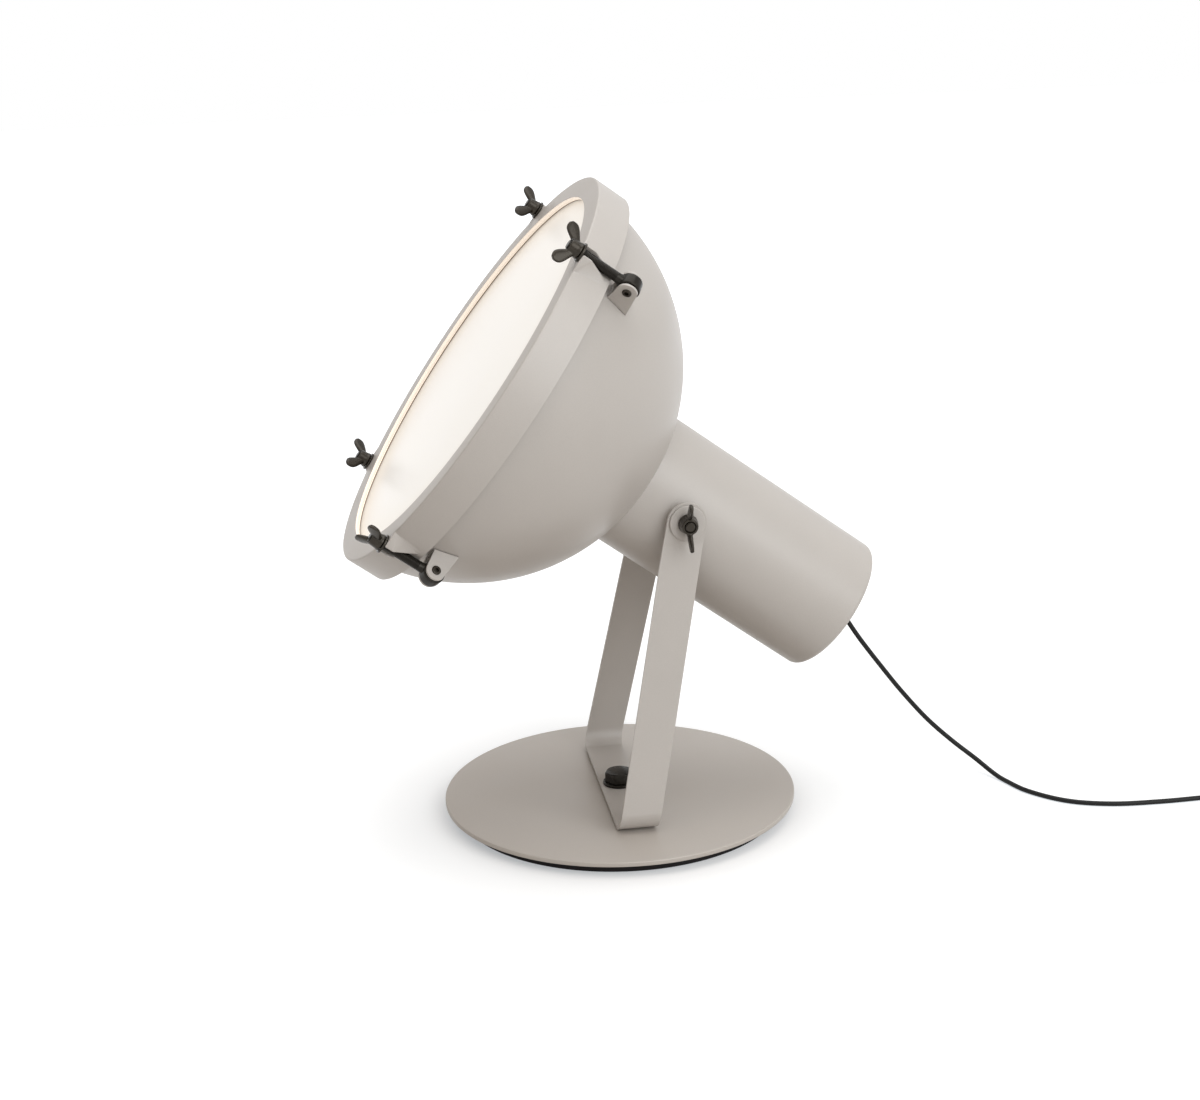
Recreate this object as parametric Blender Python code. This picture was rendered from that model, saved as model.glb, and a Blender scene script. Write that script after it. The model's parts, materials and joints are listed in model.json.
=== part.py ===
"""Adjustable floor lamp: a round weighted base, a leaning steel fork and a tilting bowl head.

The origin is the middle of the underside of the base, on the floor, with +Z up. The fork turns on
one upright bolt, the head tilts between the fork's arms, and its glass points towards -X. All
lengths are in metres.
"""
import math

import bmesh
import bpy
from mathutils import Matrix, Vector

# Fits shared by the whole lamp
seat_gap = 0.0003
running_gap = 0.0003
overrun = 0.004
weld_distance = 0.00001
round_steps = 56
small_steps = 24
pin_steps = 12
sharp_angle = math.radians(32)

# Base: painted steel plate on a smaller rubber pad
base_radius = 0.151
plate_thickness = 0.0042
plate_chamfer = 0.0006
pad_thickness = 0.0089
pad_inset = 0.0112
pad_edge = 0.0004

# Swivel bolt through the middle of the base
swivel_thread_radius = 0.007
swivel_hex_flats = 0.022
swivel_head_height = 0.0088
swivel_washer_radius = 0.014
swivel_washer_thickness = 0.0022
swivel_nut_height = 0.0065
swivel_spacer_radius = 0.015
swivel_spacer_thickness = 0.0008

# Fork bent from flat bar
bar_width = 0.033
bar_thickness = 0.003
bar_inner_bend = 0.012
arm_clear_of_drum = 0.0068
fork_spread = 0.0337
upright_below_pivot = 0.0185
pivot_height = 0.2679
pivot_behind_swivel = 0.0507
bend_segments = 8
tip_segments = 8

# Head: bowl, neck drum and front ring, placed along the head's own axis from the tilt pivot
head_tilt = math.radians(36.7)
bowl_radius = 0.174
bowl_wall = 0.0015
bowl_segments = 11
drum_radius = 0.0597
drum_wall = 0.0015
drum_length_behind = 0.1698
drum_end_fillet = 0.004
drum_fillet_segments = 4
drum_inner_fillet_segments = 3
drum_length_inside_bowl = 0.006
bowl_back_ahead = 0.0314
ring_side_room = 0.0019
ring_wall = 0.002
ring_depth = 0.0296
ring_lip_thickness = 0.003
ring_edge_round = 0.0015
ring_edge_segments = 4
ring_ahead_of_bowl_centre = 0.0016
flange_reach = 0.0046
neck_plate_beyond_drum = 0.0143
neck_plate_thickness = 0.002

# Glass disc in its rubber channel
glass_edge_room = 0.0125
glass_lip_cover = 0.0055
glass_thickness = 0.005
glass_recess = 0.0055
glass_edge_bevel = 0.0005
channel_wall = 0.0022
channel_lip_inset = 0.0008

# Tilt pivots at the sides of the drum
stud_radius = 0.004
stud_head_radius = 0.0065
stud_head_height = 0.003
boss_radius = 0.0105
pivot_washer_radius = 0.0145
pivot_washer_thickness = 0.002
pivot_nut_base_radius = 0.008
pivot_nut_top_radius = 0.006
pivot_nut_hub_height = 0.0115
pivot_nut_height = 0.020
pivot_nut_half_span = 0.020
pivot_nut_lobe_radius = 0.0048
pivot_nut_wing_thickness = 0.003
stud_end_above_hub = 0.0008

# Shape of a cast wing nut, as shares of its own sizes
hub_waist_share = 0.22
wing_root_out_share = 0.5
wing_root_height_share = 0.42
wing_neck_share = 0.65
wing_tip_segments = 6

# Rim clamps: swing bolts that hold the front ring
clamp_angles = {
    "top_near": math.radians(45),
    "top_far": math.radians(-45),
    "low_near": math.radians(135),
    "low_far": math.radians(-135),
}
clamp_nut_turns = {"top_near": 76, "top_far": 4, "low_near": 81, "low_far": 103}
clamp_bolt_beyond_ring = 0.0045
clamp_pin_behind_ring = 0.0435
clamp_bolt_radius = 0.004
eye_radius = 0.009
eye_width = 0.0095
eye_side_gap = 0.0007
clamp_pin_radius = 0.003
clamp_pin_head_radius = 0.0037
clamp_pin_head_height = 0.0008
lug_sheet = 0.002
lug_top_radius = 0.008
lug_foot_ahead = 0.0078
lug_foot_behind = 0.015
lug_top_first_angle = -62
lug_top_last_angle = 88
lug_top_segments = 8
clamp_washer_radius = 0.0078
clamp_washer_thickness = 0.0016
clamp_nut_base_radius = 0.0066
clamp_nut_top_radius = 0.0052
clamp_nut_hub_height = 0.0095
clamp_nut_height = 0.0178
clamp_nut_half_span = 0.0182
clamp_nut_lobe_radius = 0.005
clamp_nut_wing_thickness = 0.003
bolt_end_above_hub = 0.0012
cheek_slot_gap = 0.0005
cheek_above_bolt = 0.0045
cheek_level_length = 0.008
cheek_foot_width = 0.0105
cheek_back_width = 0.002
cheek_crest_width = 0.001
cheek_short_of_ring_back = 0.003

# Lamp fittings inside the head
bracket_thickness = 0.0015
bracket_behind_drum_front = 0.036
holder_radius = 0.019
holder_length = 0.036
holder_floor = 0.008
holder_bore_radius = 0.0146
cap_radius = 0.0132
cap_length = 0.025
bulb_length = 0.108
bulb_radius = 0.030
bulb_neck_radius = 0.0128
bulb_wall = 0.001
bulb_neck_share = 0.25
bulb_shoulder_angle = -50
bulb_segments = 7
block_length = 0.018
block_width = 0.022
block_height = 0.014
block_corner = 0.001

# Cord and what is on it
cord_radius = 0.0021
gland_flange_radius = 0.0095
gland_flange_thickness = 0.0035
gland_dome_length = 0.0055
gland_dome_radius = 0.0078
gland_shoulder_width_share = 0.85
gland_shoulder_height_share = 0.45
gland_mouth_share = 1.6
gland_inner_length = 0.011
gland_thread_radius = 0.006
gland_nut_radius = 0.009
gland_nut_thickness = 0.004
floor_gap = 0.0003
switch_length = 0.058
switch_width = 0.026
switch_low_height = 0.008
switch_high_height = 0.009
switch_corner = 0.006
rocker_length = 0.018
rocker_width = 0.012
rocker_proud = 0.0004
rocker_skirt = 0.0022
rocker_keel = 0.004
rocker_keel_half_share = 0.5
rocker_window_corner = 0.0005
rocker_throw = math.radians(8)
coil_turns_per_layer = 3.75
coil_inner_radius = 0.0163
coil_pitch = 0.0047
coil_layer_height = 0.0047
coil_centre_x = 0.624
coil_points_per_turn = 24
coil_lift = 0.0009
tie_strap = 0.0006
tie_width = 0.008
cord_end_length = 0.026
cord_end_pieces = 3
inner_cord_pieces = 12
curve_steps = 24
lead_spacing_share = 2.4
tail_spacing_share = 2.0
plug_length = 0.036
plug_width = 0.024
plug_nose_width = 0.012
plug_nose_narrow_share = 0.75
plug_shoulder_share = 0.45
plug_pin_radius = 0.002
plug_pin_length = 0.019
plug_pin_spacing = 0.0186

# The cord's route from the bend below the gland to the switch, from the picture and then by hand
cord_route = [
    (0.2138, 0.001, 0.1334),
    (0.2345, 0.004, 0.1047),
    (0.2550, 0.008, 0.0776),
    (0.2788, 0.010, 0.0494),
    (0.3015, 0.008, 0.0275),
    (0.3200, 0.000, 0.0125),
    (0.3348, -0.0264, 0.0028),
    (0.3480, -0.058, 0.0024),
    (0.3740, -0.086, 0.0024),
    (0.4090, -0.100, 0.0024),
    (0.4500, -0.104, 0.0024),
    (0.4850, -0.104, 0.0024),
    (0.5040, -0.104, 0.0024),
]

# Colours, as the linear values that a Principled BSDF takes
paint_colour = (0.50, 0.47, 0.43)
black_colour = (0.022, 0.020, 0.019)
rubber_colour = (0.016, 0.014, 0.014)
glass_colour = (0.88, 0.84, 0.78)
zinc_colour = (0.55, 0.55, 0.54)
plastic_colour = (0.030, 0.030, 0.031)
gasket_colour = (0.20, 0.15, 0.11)

# Heights of the stack on the swivel bolt
plate_bottom = pad_thickness + seat_gap
plate_top = plate_bottom + plate_thickness
spacer_bottom = plate_top + seat_gap
web_bottom = spacer_bottom + swivel_spacer_thickness + running_gap
web_top = web_bottom + bar_thickness
swivel_washer_bottom = web_top + running_gap
swivel_head_bottom = swivel_washer_bottom + swivel_washer_thickness + seat_gap
swivel_bore_radius = swivel_thread_radius + running_gap

# Half widths of the fork, from the drum outward
fork_half_span_high = drum_radius + arm_clear_of_drum + bar_thickness
fork_half_span_low = fork_half_span_high + fork_spread

# Widths of the ring, glass and clamps, from the bowl outward
ring_inner_radius = bowl_radius + flange_reach + ring_side_room
ring_radius = ring_inner_radius + ring_wall
glass_radius = ring_inner_radius - glass_edge_room
opening_radius = glass_radius - glass_lip_cover
clamp_bolt_circle = ring_radius + clamp_bolt_beyond_ring

# Places along the head's axis, ahead of the pivot
bowl_centre = bowl_back_ahead + bowl_radius
ring_front_ahead = bowl_centre + ring_ahead_of_bowl_centre
neck_plate_radius = drum_radius + neck_plate_beyond_drum
glass_front = ring_front_ahead - glass_recess
glass_back = glass_front - glass_thickness
ring_back = ring_front_ahead - ring_depth
channel_front = ring_front_ahead - ring_lip_thickness - seat_gap
channel_back = glass_back - seat_gap - (channel_front - glass_front - seat_gap)
flange_front = channel_back - seat_gap
flange_back = flange_front - bowl_wall
gland_face = -drum_length_behind - seat_gap
cord_exit_behind = -gland_face + gland_flange_thickness + gland_dome_length + seat_gap
drum_front = bowl_centre - math.sqrt(bowl_radius**2 - drum_radius**2) + drum_length_inside_bowl
bracket_ahead = drum_front - bracket_behind_drum_front


def clear_scene():
    """Remove every object that the scene starts with."""
    for item in list(bpy.data.objects):
        bpy.data.objects.remove(item, do_unlink=True)


def make_material(name, colour, roughness, metallic=0.0):
    """A Principled material with one colour."""
    material = bpy.data.materials.new(name)
    material.use_nodes = True
    shader = material.node_tree.nodes["Principled BSDF"]
    shader.inputs["Base Color"].default_value = (*colour, 1.0)
    shader.inputs["Roughness"].default_value = roughness
    shader.inputs["Metallic"].default_value = metallic
    material.diffuse_color = (*colour, 1.0)
    return material


def paint(name):
    """The lamp's sand paint."""
    return make_material(name, paint_colour, 0.45)


def blackened(name):
    """Blackened steel, for bolts, nuts and washers."""
    return make_material(name, black_colour, 0.4, 0.6)


def plastic(name):
    """Black plastic."""
    return make_material(name, plastic_colour, 0.45)


def make_empty(name, parent=None, place=Matrix.Identity(4)):
    """A guide that carries other objects at one place and turn."""
    empty = bpy.data.objects.new(name, None)
    bpy.context.collection.objects.link(empty)
    empty.parent = parent
    empty.matrix_local = place
    empty.empty_display_size = base_radius
    return empty


def make_object(name, mesh, material, parent=None, place=Matrix.Identity(4)):
    """One named piece with its own material."""
    piece = bpy.data.objects.new(name, mesh)
    bpy.context.collection.objects.link(piece)
    piece.parent = parent
    piece.matrix_local = place
    piece.material_slots[0].link = "OBJECT"
    piece.material_slots[0].material = material


def finish_mesh(name, bm):
    """Weld, turn the faces outward and shade a bmesh, and return it as a mesh."""
    bmesh.ops.remove_doubles(bm, verts=bm.verts, dist=weld_distance)
    bmesh.ops.recalc_face_normals(bm, faces=bm.faces)
    mesh = bpy.data.meshes.new(name)
    bm.to_mesh(mesh)
    bm.free()
    mesh.materials.append(None)
    mesh.shade_smooth()
    mesh.set_sharp_from_angle(angle=sharp_angle)
    return mesh


def arc(centre_x, centre_y, radius, start, end, segments):
    """Points along a circular arc, both ends included. Angles are in degrees."""
    points = []
    for index in range(segments + 1):
        angle = math.radians(start + (end - start) * index / segments)
        points.append((centre_x + radius * math.cos(angle), centre_y + radius * math.sin(angle)))
    return points


def turned(name, outline, steps):
    """Spin a closed outline of (radius, height) points round Z.

    An outline that reaches the axis makes a solid piece, and the edge along the axis is left out.
    """
    bm = bmesh.new()
    verts = [bm.verts.new((radius, 0.0, height)) for radius, height in outline]
    pairs = zip(verts, verts[1:] + verts[:1])
    edges = [bm.edges.new(pair) for pair in pairs if pair[0].co.x or pair[1].co.x]
    bmesh.ops.spin(bm, geom=verts + edges, cent=(0, 0, 0), axis=(0, 0, 1),
                   angle=math.tau, steps=steps, use_merge=True)
    return finish_mesh(name, bm)


def disc(name, radius, low, high, steps=small_steps):
    """A plain solid cylinder round Z."""
    return turned(name, [(0, low), (radius, low), (radius, high), (0, high)], steps)


def washer(name, bore, radius, low, high, steps=small_steps):
    """A flat ring round Z."""
    return turned(name, [(bore, low), (radius, low), (radius, high), (bore, high)], steps)


def extruded(name, outline, low, high, plane="XY"):
    """Extrude a flat outline. In plane XZ the outline's second value is Z and low to high is Y."""
    bm = bmesh.new()
    if plane == "XZ":
        verts = [bm.verts.new((x, low, z)) for x, z in outline]
        step = Vector((0, high - low, 0))
    else:
        verts = [bm.verts.new((x, y, low)) for x, y in outline]
        step = Vector((0, 0, high - low))
    face = bm.faces.new(verts)
    grown = bmesh.ops.extrude_face_region(bm, geom=[face])
    moved = [item for item in grown["geom"] if isinstance(item, bmesh.types.BMVert)]
    bmesh.ops.translate(bm, verts=moved, vec=step)
    return finish_mesh(name, bm)


def rounded_box_outline(length, width, corner, segments):
    """A rectangle with round corners, centred on the origin."""
    half_x = length / 2 - corner
    half_y = width / 2 - corner
    outline = []
    for side_x, side_y, start in ((1, 1, 0), (-1, 1, 90), (-1, -1, 180), (1, -1, 270)):
        outline += arc(side_x * half_x, side_y * half_y, corner, start, start + 90, segments)
    return outline


def moved_mesh(mesh, matrix):
    """The same mesh after a move or a turn."""
    mesh.transform(matrix)
    mesh.update()
    return mesh


def joined_mesh(name, meshes):
    """Several meshes in one, still as separate bodies."""
    bm = bmesh.new()
    for mesh in meshes:
        bm.from_mesh(mesh)
    return finish_mesh(name, bm)


def combined(mesh, other, operation):
    """The exact Boolean of two meshes, as a new mesh."""
    target = bpy.data.objects.new("target", mesh)
    tool = bpy.data.objects.new("tool", other)
    bpy.context.collection.objects.link(target)
    bpy.context.collection.objects.link(tool)
    boolean = target.modifiers.new("boolean", "BOOLEAN")
    boolean.operation = operation
    boolean.object = tool
    graph = bpy.context.evaluated_depsgraph_get()
    result = bpy.data.meshes.new_from_object(target.evaluated_get(graph))
    result.name = mesh.name
    bpy.data.objects.remove(target, do_unlink=True)
    bpy.data.objects.remove(tool, do_unlink=True)
    result.shade_smooth()
    result.set_sharp_from_angle(angle=sharp_angle)
    return result


def hex_outline(flats):
    """A hexagon by its width across flats."""
    return arc(0, 0, flats / math.sqrt(3), 0, 300, 5)


def turn(axis, degrees):
    """A turn round one axis of the origin."""
    return Matrix.Rotation(math.radians(degrees), 4, axis)


def shift(x, y, z):
    """A move without a turn."""
    return Matrix.Translation((x, y, z))


# Base

def build_base():
    """The plate, its pad and the swivel bolt with its washer, shim and nut."""
    plate = turned("base_plate", [
        (swivel_bore_radius, plate_bottom),
        (base_radius - plate_chamfer, plate_bottom),
        (base_radius, plate_bottom + plate_chamfer),
        (base_radius, plate_top - plate_chamfer),
        (base_radius - plate_chamfer, plate_top),
        (swivel_bore_radius, plate_top),
    ], round_steps)
    make_object("base_plate", plate, paint("base_paint"))

    pad_radius = base_radius - pad_inset
    nut_room_radius = swivel_hex_flats / math.sqrt(3) + seat_gap + running_gap
    nut_room_floor = pad_thickness - swivel_nut_height - seat_gap
    pad = turned("base_pad", [
        (0, 0),
        (pad_radius - pad_edge, 0),
        (pad_radius, pad_edge),
        (pad_radius, pad_thickness),
        (nut_room_radius, pad_thickness),
        (nut_room_radius, nut_room_floor),
        (0, nut_room_floor),
    ], round_steps)
    make_object("base_pad", pad, make_material("pad_rubber", rubber_colour, 0.9))

    spacer = washer("yoke_spacer", swivel_bore_radius, swivel_spacer_radius,
                    spacer_bottom, spacer_bottom + swivel_spacer_thickness)
    make_object("yoke_spacer", spacer, blackened("spacer_steel"))

    bolt_washer = washer("swivel_washer", swivel_bore_radius, swivel_washer_radius,
                         swivel_washer_bottom, swivel_washer_bottom + swivel_washer_thickness)
    make_object("swivel_washer", bolt_washer, blackened("swivel_washer_steel"))

    head = extruded("swivel_bolt", hex_outline(swivel_hex_flats),
                    swivel_head_bottom, swivel_head_bottom + swivel_head_height)
    shank_low = plate_bottom - swivel_nut_height
    shank = disc("shank", swivel_thread_radius, shank_low, swivel_head_bottom + overrun)
    make_object("swivel_bolt", combined(head, shank, "UNION"), blackened("swivel_bolt_steel"))

    nut = extruded("swivel_nut", hex_outline(swivel_hex_flats),
                   pad_thickness - swivel_nut_height, pad_thickness)
    bore = disc("bore", swivel_bore_radius, -overrun, pad_thickness + overrun)
    make_object("swivel_nut", combined(nut, bore, "DIFFERENCE"), blackened("swivel_nut_steel"))


# Fork

def fork_stations():
    """Cross-sections of the bar from the middle of the web to the far arm's tip.

    Each is (y, z, normal angle) of the bar's middle line.
    """
    half = bar_thickness / 2
    web_middle = web_bottom + half
    kink_height = pivot_height - upright_below_pivot
    lean_in = math.atan2(fork_half_span_low - fork_half_span_high, kink_height - web_bottom)
    bend = bar_inner_bend + half
    reach = (fork_half_span_low * math.cos(lean_in) + web_bottom * math.sin(lean_in) - half - bend)
    centre_z = web_middle + bend
    centre_y = (reach - centre_z * math.sin(lean_in)) / math.cos(lean_in)
    stations = []
    for index in range(bend_segments + 1):
        angle = -math.pi / 2 + (lean_in + math.pi / 2) * index / bend_segments
        stations.append((centre_y + bend * math.cos(angle), centre_z + bend * math.sin(angle), angle))
    upright_y = fork_half_span_high - half
    last_y, last_z = stations[-1][:2]
    kink_z = last_z + (last_y - upright_y) / math.tan(lean_in)
    stations.append((upright_y, kink_z, lean_in / 2))
    return stations


def build_fork(parent):
    """The fork, swept along its stations with round tips, then bored for the bolt and the studs."""
    half = bar_thickness / 2
    web_middle = web_bottom + half
    lean = pivot_behind_swivel / (pivot_height - web_middle)
    rows = []
    for y, z, angle in fork_stations():
        middle = Vector((lean * (z - web_middle), y, z))
        across = Vector((bar_width / 2, 0, 0))
        normal = Vector((0, math.cos(angle), math.sin(angle))) * half
        rows.append((middle - across, middle + across, normal))
    along = Vector((lean, 0, 1)).normalized()
    square = Vector((1, 0, -lean)).normalized()
    tip_radius = bar_width / 2 * along.z
    pivot = Vector((pivot_behind_swivel, fork_half_span_high - half, pivot_height))
    for index in range(tip_segments + 1):
        angle = math.pi / 2 * index / tip_segments
        rise = along * tip_radius * math.sin(angle)
        side = square * tip_radius * math.cos(angle)
        rows.append((pivot + rise - side, pivot + rise + side, Vector((0, half, 0))))
    flip = Matrix.Scale(-1, 3, (0, 1, 0))
    near = [(flip @ left, flip @ right, flip @ normal) for left, right, normal in reversed(rows)]

    bm = bmesh.new()
    loops = []
    for left, right, normal in near + rows:
        corners = (left + normal, right + normal, right - normal, left - normal)
        loops.append([bm.verts.new(corner) for corner in corners])
    for first, second in zip(loops, loops[1:]):
        for index in range(4):
            following = (index + 1) % 4
            bm.faces.new((first[index], first[following], second[following], second[index]))
    bar = finish_mesh("yoke", bm)

    swivel_bore = disc("bore", swivel_bore_radius, -overrun, web_top + overrun)
    bar = combined(bar, swivel_bore, "DIFFERENCE")
    stud_bore = disc("bore", stud_radius + running_gap, -base_radius, base_radius)
    stud_bore = moved_mesh(stud_bore, shift(pivot_behind_swivel, 0, pivot_height) @ turn("X", 90))
    bar = combined(bar, stud_bore, "DIFFERENCE")
    make_object("yoke", bar, paint("yoke_paint"), parent)


# Head shells

def bowl_outline(offset):
    """Points on the bowl's sphere, from the neck hole to the flange, moved outward by offset."""
    radius = bowl_radius + offset
    hole = drum_radius + seat_gap
    first = math.degrees(math.acos(hole / radius))
    last = math.degrees(math.asin((bowl_centre - flange_back) / radius))
    return arc(0, bowl_centre, radius, -first, -last, bowl_segments)


def build_bowl(parent):
    """The spun bowl with a flat flange round its mouth."""
    inner = bowl_outline(-bowl_wall)
    flange = [
        (bowl_radius + flange_reach, flange_back),
        (bowl_radius + flange_reach, flange_front),
        (inner[-1][0], flange_front),
    ]
    bowl = turned("bowl", bowl_outline(0.0) + flange + inner[::-1], round_steps)
    make_object("bowl", bowl, paint("bowl_paint"), parent)


def build_drum(parent):
    """The drum behind the bowl, and the ring plate that joins them inside."""
    inner_radius = drum_radius - drum_wall
    back = -drum_length_behind
    hole = gland_thread_radius + seat_gap
    fillet = arc(drum_radius - drum_end_fillet, back + drum_end_fillet,
                 drum_end_fillet, -90, 0, drum_fillet_segments)
    inner_fillet = arc(drum_radius - drum_end_fillet, back + drum_end_fillet,
                       drum_end_fillet - drum_wall, 0, -90, drum_inner_fillet_segments)
    outline = [(hole, back)] + fillet + [(drum_radius, drum_front), (inner_radius, drum_front)]
    outline = outline + inner_fillet + [(hole, back + drum_wall)]
    drum = turned("drum", outline, round_steps)
    bore = disc("bore", stud_radius + seat_gap, -drum_radius - overrun, drum_radius + overrun)
    bore = moved_mesh(bore, turn("X", 90))
    drum = combined(drum, bore, "DIFFERENCE")
    make_object("drum", drum, paint("drum_paint"), parent)

    plate_low = bowl_centre - math.sqrt((bowl_radius - bowl_wall)**2 - neck_plate_radius**2) + seat_gap
    plate = turned("neck_plate", [
        (drum_radius + seat_gap, plate_low),
        (neck_plate_radius, plate_low),
        (neck_plate_radius, plate_low + neck_plate_thickness),
        (drum_radius + seat_gap, plate_low + neck_plate_thickness),
    ], round_steps)
    make_object("neck_plate", plate, make_material("neck_plate_steel", zinc_colour, 0.4, 0.8), parent)


def cheek_mesh(side):
    """One flared cheek beside a swing bolt, in the clamp's own axes.

    X is outward from the ring's middle, Y along the rim and Z ahead, all from the bolt's pin.
    """
    front = clamp_pin_behind_ring
    band = ring_radius - clamp_bolt_circle
    top = cheek_above_bolt
    sunk = band - ring_wall / 2
    slot = clamp_bolt_radius + cheek_slot_gap
    corners = [
        (top, slot, front),
        (sunk, slot, front),
        (sunk, slot + cheek_foot_width, front),
        (top, slot, front - cheek_level_length),
        (top, slot + cheek_crest_width, front),
        (top, slot + cheek_crest_width, front - cheek_level_length),
        (sunk, slot, front - ring_depth + cheek_short_of_ring_back),
        (sunk, slot + cheek_back_width, front - ring_depth + cheek_short_of_ring_back),
    ]
    bm = bmesh.new()
    verts = [bm.verts.new((x, side * y, z)) for x, y, z in corners]
    hull = bmesh.ops.convex_hull(bm, input=verts)
    loose = [item for item in hull["geom_interior"] if isinstance(item, bmesh.types.BMVert)]
    bmesh.ops.delete(bm, geom=loose, context="VERTS")
    return finish_mesh("cheek", bm)


def clamp_place(angle):
    """The place of a clamp's pin in the head's axes, with Z ahead and X outward."""
    out = shift(0, 0, ring_front_ahead - clamp_pin_behind_ring)
    return out @ Matrix.Rotation(-angle, 4, "Z") @ shift(clamp_bolt_circle, 0, 0)


def build_ring(parent):
    """The front ring, with a pair of cheeks at each clamp."""
    inner = ring_radius - ring_wall
    front = ring_front_ahead
    edge = arc(ring_radius - ring_edge_round, front - ring_edge_round,
               ring_edge_round, 0, 90, ring_edge_segments)
    outline = [(inner, ring_back), (ring_radius, ring_back)] + edge
    outline = outline + [(opening_radius, front), (opening_radius, front - ring_lip_thickness)]
    outline = outline + [(inner, front - ring_lip_thickness)]
    ring = turned("front_ring", outline, round_steps)
    cheeks = []
    for angle in clamp_angles.values():
        for side in (-1, 1):
            cheeks.append(moved_mesh(cheek_mesh(side), clamp_place(angle)))
    ring = combined(ring, joined_mesh("cheeks", cheeks), "UNION")
    make_object("front_ring", ring, paint("ring_paint"), parent)


def build_glass(parent):
    """The glass disc and the rubber channel round its edge."""
    glass = turned("glass_disc", [
        (0, glass_back),
        (glass_radius, glass_back),
        (glass_radius, glass_front - glass_edge_bevel),
        (glass_radius - glass_edge_bevel, glass_front),
        (0, glass_front),
    ], round_steps)
    make_object("glass_disc", glass, make_material("frosted_glass", glass_colour, 0.35), parent)

    groove = glass_radius + seat_gap
    lip = opening_radius + channel_lip_inset
    channel = turned("glass_channel", [
        (lip, channel_back),
        (groove + channel_wall, channel_back),
        (groove + channel_wall, channel_front),
        (lip, channel_front),
        (lip, glass_front + seat_gap),
        (groove, glass_front + seat_gap),
        (groove, glass_back - seat_gap),
        (lip, glass_back - seat_gap),
    ], round_steps)
    make_object("glass_channel", channel, make_material("channel_rubber", gasket_colour, 0.7), parent)


# Screws, washers and wing nuts

def wing_nut_mesh(name, base, top, hub_height, height, half_span, lobe, thickness, bore):
    """A wing nut standing on Z = 0, with its two wings along X."""
    waist = hub_height * hub_waist_share
    hub = turned(name, [(0, 0), (base, 0), (base, waist), (top, hub_height), (0, hub_height)],
                 small_steps)
    far = Vector((half_span - lobe, height - lobe))
    root = Vector((top * wing_root_out_share, hub_height * wing_root_height_share))
    neck = (far - root).orthogonal().normalized() * lobe * wing_neck_share
    lean = math.degrees(math.atan2(far.y - root.y, far.x - root.x))
    outline = [tuple(root + neck), tuple(root - neck)]
    outline += arc(far.x, far.y, lobe, lean - 90, lean + 90, wing_tip_segments)
    if (root + neck).y < (root - neck).y:
        outline[0], outline[1] = outline[1], outline[0]
    wings = []
    for degrees in (0, 180):
        wing = extruded("wing", outline, -thickness / 2, thickness / 2, "XZ")
        wings.append(moved_mesh(wing, turn("Z", degrees)))
    nut = combined(hub, joined_mesh("wings", wings), "UNION")
    hole = disc("hole", bore, -overrun, height + overrun)
    return combined(nut, hole, "DIFFERENCE")


def build_pivots(head):
    """The stud, boss, washer and wing nut on each side. Local Z points out of the drum's side."""
    arm_inner = fork_half_span_high - bar_thickness
    washer_low = fork_half_span_high + running_gap
    nut_low = washer_low + pivot_washer_thickness + seat_gap
    head_top = math.sqrt((drum_radius - drum_wall)**2 - stud_head_radius**2) - seat_gap
    head_low = head_top - stud_head_height
    stud_head = disc("pivot_stud", stud_head_radius, head_low, head_top)
    shank = disc("shank", stud_radius, (head_low + head_top) / 2,
                 nut_low + pivot_nut_hub_height + stud_end_above_hub)
    stud = combined(stud_head, shank, "UNION")
    boss = washer("pivot_boss", stud_radius + seat_gap, boss_radius, drum_radius - overrun,
                  arm_inner - running_gap)
    drum_room = disc("drum_room", drum_radius + seat_gap, -base_radius, base_radius, round_steps)
    boss = combined(boss, moved_mesh(drum_room, turn("X", 90)), "DIFFERENCE")
    ring = washer("pivot_washer", stud_radius + running_gap, pivot_washer_radius,
                  washer_low, washer_low + pivot_washer_thickness, small_steps * 2)
    nut = wing_nut_mesh("pivot_nut", pivot_nut_base_radius, pivot_nut_top_radius, pivot_nut_hub_height,
                        pivot_nut_height, pivot_nut_half_span, pivot_nut_lobe_radius,
                        pivot_nut_wing_thickness, stud_radius + running_gap)
    for name, side in (("near", -1), ("far", 1)):
        guide = make_empty("pivot_" + name, head, turn("X", -90 * side))
        upright = shift(0, 0, nut_low) @ turn("Z", -side * math.degrees(head_tilt))
        make_object("pivot_stud_" + name, stud, blackened("stud_steel_" + name), guide)
        make_object("pivot_boss_" + name, boss, paint("boss_paint_" + name), guide)
        make_object("pivot_washer_" + name, ring, paint("pivot_washer_paint_" + name), guide)
        make_object("pivot_nut_" + name, nut, blackened("pivot_nut_black_" + name), guide, upright)


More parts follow.
